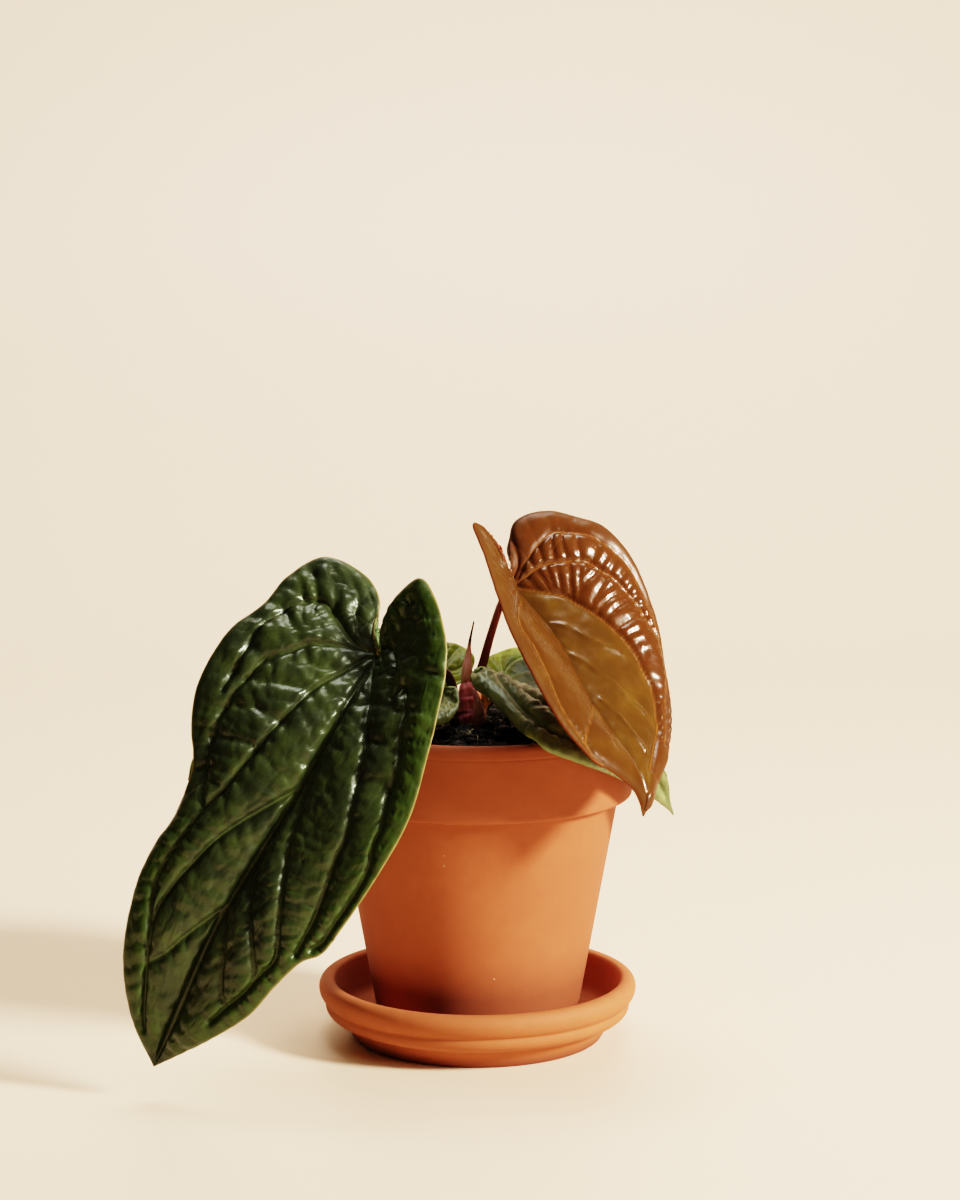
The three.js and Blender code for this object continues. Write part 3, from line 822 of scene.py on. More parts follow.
def leaf_tissue(name, tones, roughness, coat=0, wrinkles=0.3, tint="#ffffff", matte=0):
    """Living leaf: a waxy skin over mottled tissue, with veins of another tone, an outer tone at the
    margin, a thin pale rim painted as edge light, and painted shade where the mesh marks it.
    """
    colours = dict(zip(TONES, tones))
    material, shader = new_material(name)
    place = add_node(material, "ShaderNodeTexCoord").outputs["Object"]
    clouds = add_node(material, "ShaderNodeTexNoise", {"Vector": place, "Detail": 4,
                      "Scale": pattern_scale(13.33)})
    body = add_node(material, "ShaderNodeValToRGB", {"Fac": clouds.outputs["Fac"]},
                    stops=[(0.36, colours["deep"]), (0.52, colours["light"]), (0.68, colours["patch"])])
    socket = body.outputs["Color"]
    for attribute, tone, strength in TISSUE_PARTS:
        share = add_node(material, "ShaderNodeAttribute", attribute_name=attribute)
        eased = add_node(material, "ShaderNodeMath", {0: share.outputs["Fac"], 1: strength},
                         operation="MULTIPLY")
        mixed = add_node(material, "ShaderNodeMix", {0: eased.outputs[0], 6: socket,
                         7: linear(colours[tone])}, data_type="RGBA")
        socket = mixed.outputs[2]
    link(material, socket, shader.inputs["Base Color"])
    sheen = add_node(material, "ShaderNodeTexNoise", {"Vector": place, "Detail": 3,
                     "Scale": pattern_scale(4.17)})
    rough = add_node(material, "ShaderNodeMapRange", {"Value": sheen.outputs["Fac"],
                     "To Min": roughness - 0.04, "To Max": roughness + 0.04})
    gloss = add_node(material, "ShaderNodeAttribute", attribute_name="gloss")
    duller = add_node(material, "ShaderNodeMapRange", {"Value": gloss.outputs["Fac"],
                      "To Min": matte, "To Max": 0})
    skin = add_node(material, "ShaderNodeMath", {0: rough.outputs["Result"],
                    1: duller.outputs["Result"]}, operation="ADD")
    link(material, skin.outputs[0], shader.inputs["Roughness"])
    shine = add_node(material, "ShaderNodeAttribute", attribute_name="shine")
    level = add_node(material, "ShaderNodeMath", {0: shine.outputs["Fac"], 1: 0.5},
                     operation="MULTIPLY")
    link(material, level.outputs[0], shader.inputs["Specular IOR Level"])
    net = add_node(material, "ShaderNodeTexVoronoi", {"Vector": place, "Scale": pattern_scale(3.03)},
                   feature="SMOOTH_F1")
    wrinkle = add_node(material, "ShaderNodeTexNoise", {"Vector": place, "Detail": 3,
                       "Scale": pattern_scale(2.38)})
    uneven = add_node(material, "ShaderNodeMath", {0: wrinkle.outputs["Fac"],
                      1: net.outputs["Distance"]}, operation="SUBTRACT")
    crease = add_node(material, "ShaderNodeBump", {"Height": uneven.outputs[0],
                      "Strength": wrinkles, "Distance": 0.5 * MM})
    grain = add_node(material, "ShaderNodeTexNoise", {"Vector": place, "Detail": 2,
                     "Scale": pattern_scale(0.6667)})
    bump = add_node(material, "ShaderNodeBump", {"Height": grain.outputs["Fac"], "Strength": 0.15,
                    "Distance": 0.2 * MM, "Normal": crease.outputs["Normal"]})
    link(material, bump.outputs["Normal"], shader.inputs["Normal"])
    set_shader(shader, IOR=1.45, Coat_Weight=coat, Coat_Roughness=0.2, Specular_Tint=linear(tint))
    return material


def build_blade(name, blade, look, upper, under):
    """A blade of even thickness whose upper side is the quilted sheet."""
    mesh = blade_mesh(name, blade, look)
    piece = finished(name, mesh, [upper, under], [look["node"]], keep_sides=True)
    solid = piece.modifiers.new("thickness", "SOLIDIFY")
    solid.thickness = BLADE_THICKNESS * MM
    solid.offset = -1
    solid.material_offset = 1
    solid.material_offset_rim = 0
    return piece


# Where the painted glow of light through the thin blade shows, from 0 to 1

def far_lobe_right(across, along):
    """The far lobe of the right low leaf, painted yellow-green as a glow of the light shining through
    it.
    """
    return np.where(across > 0, 1 - smooth(-0.2, 0.3, along), 0)


def far_lobe_left(across, along):
    """The same lobe of the left low leaf."""
    return far_lobe_right(-across, along)


def right_and_low(across, along):
    """Painted glow of light through the large leaf's thin margin: all of its right side, the lower half
    of its left.
    """
    return np.where(across > 0, 1, smooth(0.3, 0.6, along))


# Each blade's own quilting and sheen. Sizes, heights and spacings are in millimetres, columns and rows
# are the mesh's, and guide, inner_vein and outer_vein are a vein's place in that half's list

LARGE_GREEN_LOOK = {
    "node": "leaf_large_green", "columns": 160, "rows": 250, "lobe_rows": 0.36,
    "valley_width": 2.5, "pillow": 2.2, "side_pillow": 1.7, "side_width": 3.2, "vein_width": 0.4,
    "pucker_size": 9, "pucker": 0.6, "cell": 6, "cell_pillow": 0.35, "roll": 2.5, "cup": 0,
    "hub_matte": 0.9, "rim_matte": 0.3,
    "slant": 0.35, "stray": 2.5, "painted_glow_reach": 20, "sink": 2.9, "painted_glow_zone": right_and_low,
    "left": {"spacing": 8, "cross": 1.2, "rim_ribs": 0.4},
    "right": {"spacing": 6.5, "cross": 0.9, "rim_ribs": 1.4},
}
NEW_BRONZE_LOOK = {
    "node": "leaf_new_bronze", "columns": 128, "rows": 210, "lobe_rows": 0.42,
    "valley_width": 2.2, "pillow": 1.1, "side_pillow": 0.4, "side_width": 1.1, "vein_width": 0.35,
    "pucker_size": 7, "pucker": 0.3, "cell": 6, "cell_pillow": 0.03, "roll": 1.2, "cup": 2.2, "sink": 0,
    "hub_matte": 0, "rim_matte": 1,
    "slant": 0, "stray": 1.2,
    # The narrow left strip is darkened with painted shade
    "left": {"spacing": 3.2, "cross": 0.25, "guide": 0, "outer": 0.4,
             "rim_ribs": 1, "painted_shade": 0.6, "shine": 0.4},
    "right": {"spacing": 4.9, "cross": 1.1, "guide": 1, "inner_vein": 0, "outer_vein": 2},
}
RIGHT_LOW_LOOK = {
    "node": "leaf_right_low", "columns": 96, "rows": 150, "lobe_rows": 0.4,
    "valley_width": 2.4, "pillow": 2.0, "side_pillow": 0.5, "side_width": 1.2, "vein_width": 0.35,
    "pucker_size": 6, "pucker": 0.5, "cell": 5, "cell_pillow": 0.9, "roll": 1.5, "cup": 0, "sink": 0,
    "hub_matte": 0, "rim_matte": 0,
    "slant": 0.3, "stray": 1.2, "painted_glow_reach": 16, "painted_glow_zone": far_lobe_right,
    "left": {"spacing": 4.6, "cross": 1.8},
    # The far half gets painted shade, where the bronze leaf's shadow falls on it
    "right": {"spacing": 4.6, "cross": 0.7, "relief": 0.4, "painted_shade": 1, "shine": 0.3},
}
LEFT_LOW_LOOK = {
    **RIGHT_LOW_LOOK, "node": "leaf_left_low", "painted_glow_zone": far_lobe_left,
    # Its far half gets painted shade
    "left": {"spacing": 4.6, "cross": 0.7, "relief": 0.5, "painted_shade": 0.4, "shine": 0.5},
    "right": {"spacing": 4.6, "cross": 0.9},
}


def rule_veins(laterals):
    """Main veins of a small blade: rays in the lobes, a long outer vein and laterals off the midrib."""
    rays = [[(0, -0.02), (0.5, ray), (0.86, ray * 1.05)] for ray in (-0.72, -0.45, -0.2)]
    outer = [(0, 0), (0.42, 0.02), (0.72, 0.15), (0.82, 0.4), (0.8, 0.7), (0.6, 0.95)]
    inner = [(0, 0.01), (0.28, 0.12), (0.5, 0.3), (0.6, 0.55), (0.55, 0.85)]
    off_midrib = [[(0, start), (0.3, start + 0.12), (0.62, start + 0.3)] for start in laterals]
    return rays + [outer, inner] + off_midrib


LOW_LEAF_LATERALS = [0.2, 0.42, 0.62]


def build_blades():
    """The four leaves, each over its own solid."""
    def mirrored(lines):
        return [[(-across, along) for across, along in line] for line in lines]

    for blade, look, veins, side_veins in (
            (LARGE_GREEN, LARGE_GREEN_LOOK, LARGE_GREEN_VEINS, LARGE_GREEN_SIDE_VEINS),
            (NEW_BRONZE, NEW_BRONZE_LOOK, NEW_BRONZE_VEINS, NEW_BRONZE_SIDE_VEINS)):
        for side in ("left", "right"):
            look[side]["veins"] = blade_veins(blade, side, veins[side])
            look[side]["side_veins"] = blade_veins(blade, side, side_veins[side])
    NEW_BRONZE_LOOK["right"]["ridges"] = blade_veins(NEW_BRONZE, "right", NEW_BRONZE_RIDGES)
    for look in (RIGHT_LOW_LOOK, LEFT_LOW_LOOK):
        lines = rule_veins(LOW_LEAF_LATERALS)
        look["left"].update(veins=mirrored(lines), side_veins=[])
        look["right"].update(veins=lines, side_veins=[])
    skins = {name: leaf_tissue(name, **skin) for name, skin in LEAF_SKINS.items()}
    for name, blade, look, age, slot in (
            ("blade_large_green", LARGE_GREEN, LARGE_GREEN_LOOK, "mature", "blade_mature"),
            ("blade_new_bronze", NEW_BRONZE, NEW_BRONZE_LOOK, "young", "blade_bronze"),
            ("blade_right_low", RIGHT_LOW, RIGHT_LOW_LOOK, "low", "blade_right"),
            ("blade_left_low", LEFT_LOW, LEFT_LOW_LOOK, "low", "blade_left")):
        build_blade(name, blade, look, skins[age + "_leaf_skin"], skins[age + "_leaf_underside"])


# Stems, as paths with the radius at each point, in millimetres

CROWN = {
    "path": [(-3, -18, 139), (-3.1, -17.8, 144.5), (-3.4, -17.2, 150), (-4.2, -15.6, 158),
             (-5, -14, 166)],
    "radii": [5.4, 5.4, 5.3, 4.3, 2.9],
}
PETIOLES = {
    "petiole_large_green": {
        "path": [(-9, -17, 147), (-11.3, -16.6, 151), (-11, -12.8, 161.5), (-15.3, -15.5, 170.2),
                 (-27, -36, 177.5), (-36, -57, 183.3), (-41.8, -69.4, 186.5)],
        "radii": [2.9, 2.5, 2.3, 2.1, 1.9, 2.0, 1.5], "finish": "brown",
    },
    "petiole_new_bronze": {
        "path": [(-5, -12, 147), (-5.3, -9.7, 151), (-2.6, -6.6, 160), (1.6, -4.6, 169),
                 (5.6, -8, 184), (10.1, -13, 199), (13.9, -19.7, 208.8)],
        "radii": [2.8, 2.5, 2.2, 2.1, 1.8, 1.7, 1.3], "finish": "red",
    },
    "petiole_right_low": {
        "path": [(-3, -14, 147), (-0.5, -11.2, 149.5), (3.4, -6.2, 152.5), (7.6, -0.4, 155.5),
                 (9.8, 4.4, 158.2)],
        "radii": [2.2, 1.9, 1.8, 1.7, 1.4], "finish": "brown",
    },
    "petiole_left_low": {
        "path": [(-6, -15, 147), (-8.3, -12.8, 149.5), (-12, -8.2, 152.5), (-16.6, -3.6, 155.3),
                 (-19.7, -0.4, 158.2)],
        "radii": [2.2, 1.9, 1.8, 1.7, 1.4], "finish": "brown",
    },
}
SHOOT = {
    "path": [(-5.1, -14, 164), (-4.6, -12.8, 171), (-4, -11.4, 176), (-3.6, -10.6, 181),
             (-2.8, -10.2, 186), (-1.5, -10, 192)],
    "radii": [2.9, 2.4, 1.6, 0.8, 0.5, 0.35],
}
SCALES = {
    "cataphyll_pink": {"middle": -46, "spread": 40, "start": 0.38, "end": 0.76, "flare": 1.2,
                       "skin": "pink_cataphyll"},
    "cataphyll_dry": {"middle": 22, "spread": 22, "start": 0.38, "end": 0.66, "flare": 3.6,
                      "skin": "dry_cataphyll"},
}
SHRED_MIDDLE = (2.8, -9, 155)
SHRED_COUNT = 9
SHEATH_BASE = {
    "path": [(-1.8, -16.6, 163), (-0.8, -17.2, 158), (0.3, -17.8, 152.5), (0.5, -18.2, 147)],
    "radii": [0.9, 2.0, 2.7, 2.8],
}
SCALE_GAP = 0.4
SCALE_THICKNESS = 0.8
SCALE_SHEET = 0.4


def along_list(values, share):
    """A list of numbers read as a piecewise straight line, at shares from 0 to 1."""
    return np.interp(share, np.linspace(0, 1, len(values)), values)


def stem_mesh(name, stem, around, rows, relief):
    """A round stem with rounded ends. relief(angle, share, points) gives how far its skin stands out,
    as a share of the radius."""
    reference = np.array([1.0, 0, 0])
    spine = curve_at(stem["path"], np.linspace(0, 1, 100))
    length = np.linalg.norm(np.diff(spine, axis=0), axis=1).sum()

    def place(x, y):
        angle = x * math.pi
        share = 0.5 + 0.5 * np.sin(y * math.pi / 2)
        centre = curve_at(stem["path"], share)
        step = 0.002
        tangent = curve_at(stem["path"], share + step) - curve_at(stem["path"], share - step)
        tangent /= np.linalg.norm(tangent, axis=1)[:, None]
        first = reference - tangent * (tangent @ reference)[:, None]
        first /= np.linalg.norm(first, axis=1)[:, None]
        second = np.cross(tangent, first)
        radius = along_list(stem["radii"], share)
        to_end = np.minimum(share, 1 - share) * length
        radius = radius * np.sqrt(1 - (1 - np.clip(to_end / radius, 0, 1)) ** 2)
        outward = first * np.cos(angle)[:, None] + second * np.sin(angle)[:, None]
        radius = radius * (1 + relief(angle, share, centre + outward * radius[:, None]))
        points = centre + outward * radius[:, None]
        return points, {"along": share, "around": angle / math.pi}

    return grid_mesh(name, around, rows, place)


def scale_mesh(name, scale):
    """A pointed papery scale that hugs the crown, with fine ribs and a ragged edge."""
    def place(x, y):
        share = (y + 1) / 2
        place_on_crown = scale["start"] + (scale["end"] - scale["start"]) * share
        centre = curve_at(CROWN["path"], place_on_crown)
        reach = (along_list(CROWN["radii"], place_on_crown) + SCALE_GAP + SCALE_THICKNESS
                 + scale["flare"] * share**2)
        ragged = 1 + 0.1 * np.sin(share * 23 + x) * share
        spread = scale["spread"] * np.cos(share * math.pi * 0.46) * ragged
        angle = np.radians(scale["middle"] + spread * x)
        reach = reach + 0.12 * np.sin(x * 24) + 0.25 * np.sin(share * 9 + x * 2) * share
        outward = np.stack([np.cos(angle), np.sin(angle), np.zeros(len(x))], -1)
        points = centre + outward * reach[:, None]
        return points, {"along": share}

    return grid_mesh(name, 48, 48, place)


def shred_mesh():
    """Curled remains of an old sheath, 3 to 6 mm long, caught between the crown and the low leaf."""
    random.seed(17)
    heap = bmesh.new()
    for index in range(SHRED_COUNT):
        foot = np.array(SHRED_MIDDLE) + [random.uniform(-2, 2.4), random.uniform(-2, 2),
                                         random.uniform(-3.5, 0.5)]
        lean = random.uniform(-0.9, 0.9)
        height, width = random.uniform(3, 5.5), random.uniform(1, 1.9)
        curl, turn = random.uniform(0.6, 1.6), random.uniform(-0.8, 0.8)

        def place(x, y):
            up = (y + 1) / 2
            side = x * width * (1 - 0.75 * up**2)
            hollow = curl * (x**2 + up**2)
            flat = np.stack([side * math.cos(turn) + lean * up * 2, side * math.sin(turn) + hollow,
                             up * height + 0.2 * np.sin(x * 9 + index)], -1)
            return foot + flat, {"along": up, "around": x}

        heap.from_mesh(grid_mesh("dry_shred", 6, 8, place))
    mesh = bpy.data.meshes.new("dry_shreds")
    heap.to_mesh(mesh)
    heap.free()
    return mesh


# Dark and light fibres and the tone of the tip; ending says between which shares of the length the
# tip's tone takes over
STEM_SKINS = {
    # Older petiole: satin skin, brown over red
    "petiole_brown_skin": {
        "tones": ("#33141a", "#4a2420", "#4e3a1c"), "roughness": 0.4, "streaks": 14},
    # Petiole of the new leaf: full dark red with a wet-looking light along it
    "petiole_red_skin": {
        "tones": ("#4c0e16", "#742024", "#8a3424"), "roughness": 0.32, "streaks": 14},
    # Young crown: mauve-pink skin with soft rings, painted paler than its own dark red to stand in for
    # light that reaches it under the leaves
    "crown_bark": {
        "tones": ("#7a3440", "#c07078", "#c46a6a"), "roughness": 0.45, "streaks": 16},
    # Rolled new leaf: salmon with a dark needle tip
    "new_leaf_spear": {
        "tones": ("#c87c70", "#f0bcaa", "#33261a"), "roughness": 0.35, "streaks": 10,
        "ending": (0.55, 0.7)},
    # Living sheath: thin pink skin that lets light through
    "pink_cataphyll": {
        "tones": ("#a04a50", "#e0a096", "#e4b09c"), "roughness": 0.45, "streaks": 18},
    # Dying sheath: dull and papery, pink turning orange at its end
    "dry_cataphyll": {
        "tones": ("#b0604e", "#e0a48c", "#d08a4c"), "roughness": 0.55, "streaks": 18},
    # Dead shreds: crisp yellow-brown parchment
    "dry_shreds_skin": {
        "tones": ("#b8701c", "#e8b844", "#d8a030"), "roughness": 0.65, "streaks": 9},
    # Thin pale roots
    "root_hair": {
        "tones": ("#8a8468", "#b8b498", "#a8a488"), "roughness": 0.6, "streaks": 4},
}


def fibrous_skin(name, tones, roughness, streaks, ending=(0.45, 0.8)):
    """Living stem or sheath: smooth waxy skin with fine lengthwise fibres that fade into its tip."""
    dark, light, tip = tones
    material, shader = new_material(name)
    along = add_node(material, "ShaderNodeAttribute", attribute_name="along")
    around = add_node(material, "ShaderNodeAttribute", attribute_name="around")
    lines = add_node(material, "ShaderNodeCombineXYZ", {"X": around.outputs["Fac"],
                     "Y": along.outputs["Fac"]})
    stretch = add_node(material, "ShaderNodeMapping", {"Vector": lines.outputs["Vector"],
                       "Scale": (streaks, 2.5, 1)})
    fibres = add_node(material, "ShaderNodeTexNoise", {"Vector": stretch.outputs["Vector"],
                      "Scale": 1, "Detail": 5})
    shades = add_node(material, "ShaderNodeMapRange", {"Value": fibres.outputs["Fac"],
                      "From Min": 0.35, "From Max": 0.65})
    skin = add_node(material, "ShaderNodeMix", {0: shades.outputs["Result"], 6: linear(dark),
                    7: linear(light)}, data_type="RGBA")
    fading = add_node(material, "ShaderNodeMapRange", {"Value": along.outputs["Fac"],
                      "From Min": ending[0], "From Max": ending[1]})
    whole = add_node(material, "ShaderNodeMix", {0: fading.outputs["Result"],
                     6: skin.outputs[2], 7: linear(tip)}, data_type="RGBA")
    link(material, whole.outputs[2], shader.inputs["Base Color"])
    bump = add_node(material, "ShaderNodeBump", {"Height": fibres.outputs["Fac"],
                    "Strength": 0.3, "Distance": 0.2 * MM})
    link(material, bump.outputs["Normal"], shader.inputs["Normal"])
    set_shader(shader, Roughness=roughness, IOR=1.45, Subsurface_Weight=0.2, Subsurface_Scale=1 * MM)
    return material


def petiole_relief(angle, share, points):
    """A shallow groove down one side of a slightly three-sided stalk."""
    return 0.05 * np.sin(3 * angle) - 0.1 * np.exp(-((angle - 1.3) / 0.4) ** 2)


def crown_relief(angle, share, points):
    """Rings where old leaves sat, and soft upright folds."""
    rings = -0.05 * np.exp(-((((share * 4.5) % 1) - 0.5) / 0.1) ** 2)
    return rings + 0.1 * rippled(points, 4) + 0.05 * np.sin(angle * 7 + share * 4)


def shoot_relief(angle, share, points):
    """The seam that winds up a rolled leaf."""
    seam = (angle + 2.5 * share + math.pi) % (2 * math.pi) - math.pi
    return -0.12 * np.exp(-((seam / 0.22) ** 2))


def build_stems():
    """Petioles, crown, shoot, sheaths and shreds. Gives the skins, one of which is the roots'."""
    skins = {name: fibrous_skin(name, **skin) for name, skin in STEM_SKINS.items()}
    for name, stem in PETIOLES.items():
        mesh = stem_mesh(name + "_fine", stem, 40, 90, petiole_relief)
        skin = skins["petiole_" + stem["finish"] + "_skin"]
        finished(name + "_fine", mesh, [skin], [name])
    mesh = stem_mesh("crown_fine", CROWN, 72, 110, crown_relief)
    finished("crown_fine", mesh, [skins["crown_bark"]], ["crown"])
    mesh = stem_mesh("shoot_fine", SHOOT, 36, 120, shoot_relief)
    finished("shoot_fine", mesh, [skins["new_leaf_spear"]], ["new_shoot"])
    for name, scale in SCALES.items():
        mesh = scale_mesh(name + "_fine", scale)
        piece = finished(name + "_fine", mesh, [skins[scale["skin"]]], [name])
        solid = piece.modifiers.new("thickness", "SOLIDIFY")
        solid.thickness = SCALE_SHEET * MM
        solid.offset = 0
    mesh = stem_mesh("sheath_base", SHEATH_BASE, 32, 40, petiole_relief)
    finished("sheath_base", mesh, [skins["pink_cataphyll"]])
    finished("dry_shreds", shred_mesh(), [skins["dry_shreds_skin"]], keep_sides=True)
    return skins


# Potting mix

# Millimetres: heights of the mix's edge and foot above the table, how much the heap and its lumps
# add, the radii of mouth, foot and heap, the heap's middle and the ring kept clear round the crown
MIX_EDGE = 141
MIX_FOOT = 17.5
MIX_HEAP = 5.5
MIX_LUMP = 0.9
MOUTH_RADIUS = 62.2
MIX_FOOT_RADIUS = 39
MIX_HEAP_REACH = 70
MIX_MIDDLE = (-3, -18)
CROWN_CLEARING = 7
# Shares of the grid's rows where its top ends and where its side ends
MIX_TOP_SHARE = 0.86
MIX_SIDE_SHARE = 0.94
# How many chips and shoots of moss, and where the root hairs start
CHIP_COUNT = 420
MOSS_COUNT = 2600
ROOT_STARTS = [(-6, -30), (-2, -34), (3, -31), (7, -36), (-10, -36), (0, -42), (10, -28), (-4, -24)]
# Points of each root hair, the way from one to the next and its radius, in mm
ROOT_POINTS = 12
ROOT_STEP = 1.2
ROOT_RADIUS = 0.24


def mix_height(x, y):
    """Height of the mix's uneven top, without its crumbs: a low heap round the crown."""
    reach = np.hypot(x, y) / MOUTH_RADIUS
    lump = MIX_LUMP * (np.sin(x * 0.42 + y * 0.13) + np.sin(y * 0.37 - x * 0.21 + 2))
    middle = np.hypot(x - MIX_MIDDLE[0], y - MIX_MIDDLE[1]) / MIX_HEAP_REACH
    heap = MIX_HEAP * (1 - np.clip(middle, 0, 1)) ** 2
    return MIX_EDGE + heap + lump * (1 - np.clip(reach, 0, 1) ** 6)


def mix_mesh():
    """The whole body of mix: its crumbly top, its side against the pot and its flat foot."""
    def place(x, y):
        angle = x * math.pi
        depth = (1 - y) / 2
        top, side = MIX_TOP_SHARE, MIX_SIDE_SHARE
        radius = np.where(depth < top, MOUTH_RADIUS * depth / top,
                          np.where(depth < side, MOUTH_RADIUS + (MIX_FOOT_RADIUS - MOUTH_RADIUS)
                                   * (depth - top) / (side - top),
                                   MIX_FOOT_RADIUS * (1 - depth) / (1 - side)))
        px, py = radius * np.cos(angle), radius * np.sin(angle)
        height = mix_height(px, py)
        flat = np.stack([px, py, np.zeros(len(x))], -1)
        crumbs = 0.9 * np.abs(rippled(flat, 3.2, 3)) + 0.35 * rippled(flat, 1.1, 1)
        height = np.where(depth <= top, height + crumbs, height)
        below = MIX_EDGE + (MIX_FOOT - MIX_EDGE) * np.clip((depth - top) / (side - top), 0, 1)
        height = np.where(depth > top, below, height)
        return np.stack([px, py, height], -1)

    return grid_mesh("mix_body", 240, 120, place)


def scattered(count, seed, outer, stray):
    """Places spread evenly over the mix, each moved a little at random."""
    random.seed(seed)
    placed = []
    for index in range(count):
        turn = index * math.pi * (3 - math.sqrt(5))
        out = outer * math.sqrt((index + 0.5) / count)
        x = out * math.cos(turn) + random.uniform(-stray, stray)
        y = out * math.sin(turn) + random.uniform(-stray, stray)
        if math.hypot(x, y) < outer and math.hypot(
                x - MIX_MIDDLE[0], y - MIX_MIDDLE[1]) > CROWN_CLEARING:
            placed.append((x, y))
    return placed


def chip_mesh():
    """Bark chips: flat broken pieces 4 to 9 mm long, lying half sunk in the mix."""
    heap = bmesh.new()
    spare = bpy.data.meshes.new("bark_chips")
    for x, y in scattered(CHIP_COUNT, 11, 59, 3):
        chip = bmesh.new()
        bmesh.ops.create_icosphere(chip, subdivisions=1, radius=1)
        length = random.uniform(2, 4.6)
        size = Vector((length, length * random.uniform(0.45, 0.8), length * random.uniform(0.25, 0.4)))
        turn = Matrix.Rotation(random.uniform(0, 2 * math.pi), 3, "Z")
        tilt = Matrix.Rotation(random.uniform(-0.7, 0.7), 3, "X")
        lift = float(mix_height(x, y)) + random.uniform(-0.2, 0.7)
        for vert in chip.verts:
            broken = Vector([axis * random.uniform(0.75, 1.2) for axis in vert.co])
            blocky = Vector([math.copysign(abs(axis) ** 0.6, axis) for axis in broken])
            shaped = turn @ (tilt @ Vector([a * b for a, b in zip(blocky, size)]))
            vert.co = (shaped + Vector((x, y, lift))) * MM
        chip.to_mesh(spare)
        chip.free()
        heap.from_mesh(spare)
    heap.to_mesh(spare)
    heap.free()
    return spare


# A slanting direction: each thread's first cross direction is square to this and to the thread
ACROSS_THREADS = [0.36, 0.48, 0.8]


def strands_mesh(name, paths, radii, sides):
    """Many thin pointed threads as one mesh. paths holds each thread's points, all of one count."""
    paths = np.array(paths, float)
    count, length = paths.shape[:2]
    bm = bmesh.new()
    bmesh.ops.create_grid(bm, x_segments=sides, y_segments=count * length - 1, size=1)
    bm.faces.ensure_lookup_table()
    between = [face for row in range(length - 1, count * length - 1, length)
               for face in bm.faces[row * sides:(row + 1) * sides]]
    bmesh.ops.delete(bm, geom=between, context="FACES_ONLY")
    loose = [edge for edge in bm.edges if not edge.link_faces]
    bmesh.ops.delete(bm, geom=loose, context="EDGES")
    taper = np.sin(np.linspace(0.12, 1, length) * math.pi) ** 0.5
    ahead = np.gradient(paths, axis=1)
    ahead /= np.linalg.norm(ahead, axis=2)[..., None]
    first = np.cross(ahead, ACROSS_THREADS)
    first /= np.linalg.norm(first, axis=2)[..., None]
    second = np.cross(ahead, first)
    angle = np.linspace(0, 2 * math.pi, sides + 1)
    reach = np.array(radii)[:, None] * taper
    ring = (first[:, :, None] * np.cos(angle)[:, None] + second[:, :, None] * np.sin(angle)[:, None])
    points = paths[:, :, None] + ring * reach[..., None, None]
    mesh = bpy.data.meshes.new(name)
    bm.to_mesh(mesh)
    bm.free()
    mesh.vertices.foreach_set("co", (points * MM).ravel())
    return mesh


def moss_mesh():
    """Short moss shoots, 2 to 4 mm high, all over the mix."""
    paths, radii = [], []
    for x, y in scattered(MOSS_COUNT, 23, 60.5, 1.4):
        foot = np.array([x, y, mix_height(x, y) - 0.3])
        lean = np.array([random.uniform(-1, 1), random.uniform(-1, 1), random.uniform(0.8, 2)])
        lean *= random.uniform(1.6, 3.4) / np.linalg.norm(lean)
        bend = np.array([random.uniform(-0.8, 0.8), random.uniform(-0.8, 0.8), 0])
        paths.append([foot, foot + lean * 0.3, foot + lean * 0.65 + bend * 0.3, foot + lean + bend])
        radii.append(random.uniform(0.25, 0.45))
    return strands_mesh("moss_shoots", paths, radii, 4)


def root_mesh():
    """Pale root hairs that wander over the mix in front of the crown."""
    paths = []
    random.seed(31)
    for x, y in ROOT_STARTS:
        heading = random.uniform(0, 2 * math.pi)
        points = []
        for _ in range(ROOT_POINTS):
            points.append((x, y, mix_height(x, y) + random.uniform(0.6, 2.2)))
            heading += random.uniform(-0.8, 0.8)
            x, y = x + math.cos(heading) * ROOT_STEP, y + math.sin(heading) * ROOT_STEP
        paths.append(points)
    return strands_mesh("root_hairs", paths, [ROOT_RADIUS] * len(paths), 6)


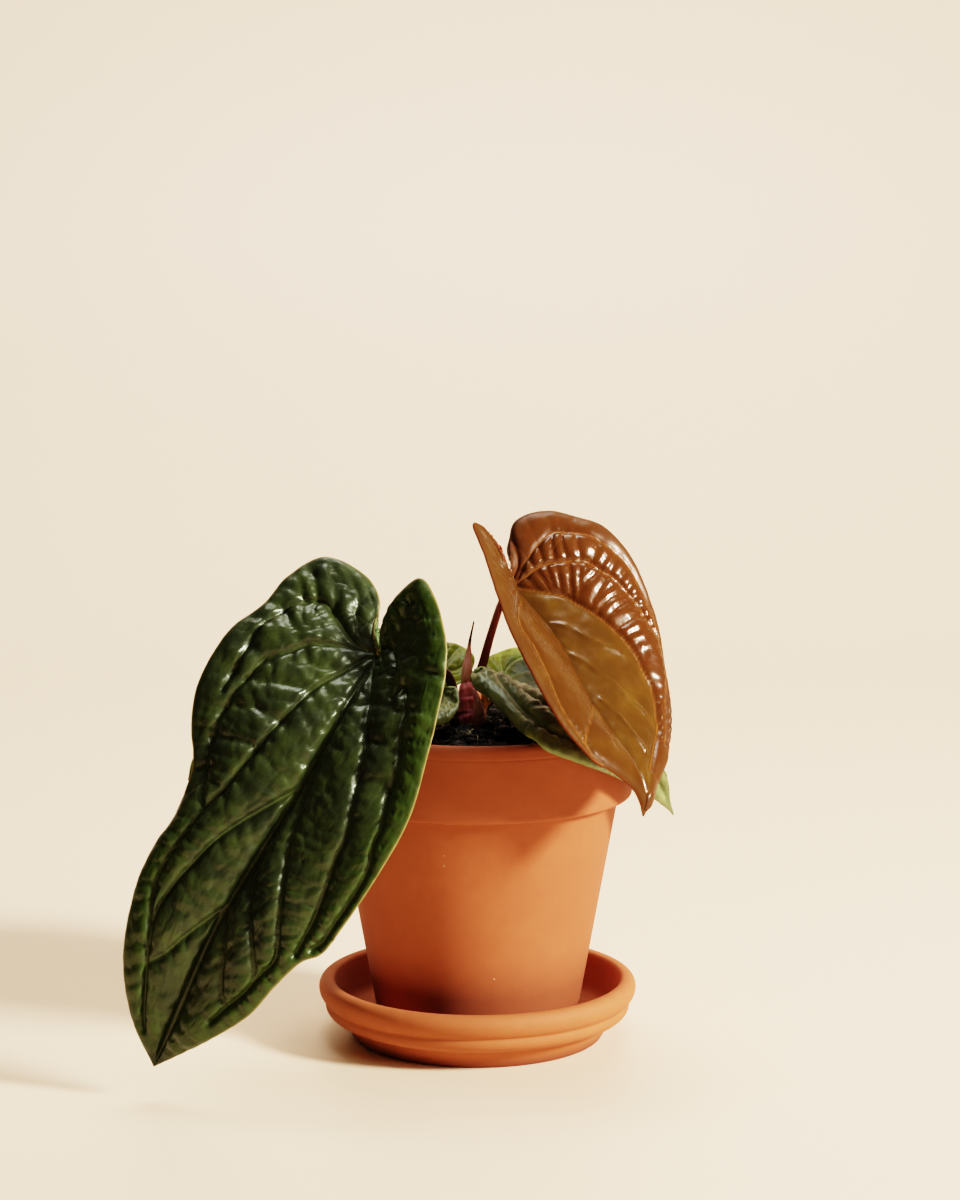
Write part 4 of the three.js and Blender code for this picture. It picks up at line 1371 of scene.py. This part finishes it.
# Dark and light crumbs, and flecks
MIX_SKINS = {
    # Wet peat: nearly black and dull, since the water fills its pores
    "damp_peat": {"tones": ("#0e0d08", "#221d12", "#4a4026"), "roughness": 0.85},
    # Wet bark: dark brown, a little shinier than the peat
    "orchid_bark": {"tones": ("#1a120c", "#33241a", "#4e3a28"), "roughness": 0.75},
    # Moss: dark green tufts with lighter flecks
    "living_moss": {"tones": ("#10160a", "#2c3a14", "#46541e"), "roughness": 0.8},
}


def crumbly(name, tones, roughness):
    """Damp bark, peat and moss: dark crumbs of two tones with a few lighter flecks."""
    dark, light, flecks = tones
    material, shader = new_material(name)
    place = add_node(material, "ShaderNodeTexCoord").outputs["Object"]
    crumbs = add_node(material, "ShaderNodeTexNoise", {"Vector": place, "Detail": 6,
                      "Scale": pattern_scale(3.03)})
    tone = add_node(material, "ShaderNodeValToRGB", {"Fac": crumbs.outputs["Fac"]},
                    stops=[(0.4, dark), (0.62, light)])
    specks = add_node(material, "ShaderNodeTexVoronoi", {"Vector": place,
                      "Scale": pattern_scale(2.38)})
    chosen = add_node(material, "ShaderNodeMapRange", {"Value": specks.outputs["Distance"],
                      "From Min": 0.16, "From Max": 0.1})
    mixed = add_node(material, "ShaderNodeMix", {0: chosen.outputs["Result"],
                     6: tone.outputs["Color"], 7: linear(flecks)}, data_type="RGBA")
    link(material, mixed.outputs[2], shader.inputs["Base Color"])
    bump = add_node(material, "ShaderNodeBump", {"Height": crumbs.outputs["Fac"],
                    "Strength": 0.8, "Distance": 0.6 * MM})
    link(material, bump.outputs["Normal"], shader.inputs["Normal"])
    set_shader(shader, Roughness=roughness, IOR=1.4)
    return material


def build_mix(root_skin):
    """The mix and what lies and grows on it."""
    skins = {name: crumbly(name, **skin) for name, skin in MIX_SKINS.items()}
    finished("mix_body", mix_mesh(), [skins["damp_peat"]], ["potting_mix"])
    finished("bark_chips", chip_mesh(), [skins["orchid_bark"]])
    finished("moss_shoots", moss_mesh(), [skins["living_moss"]])
    finished("root_hairs", root_mesh(), [root_skin])


build_camera()
build_stage()
build_light()
build_terracotta()
build_blades()
stem_skins = build_stems()
build_mix(stem_skins["root_hair"])
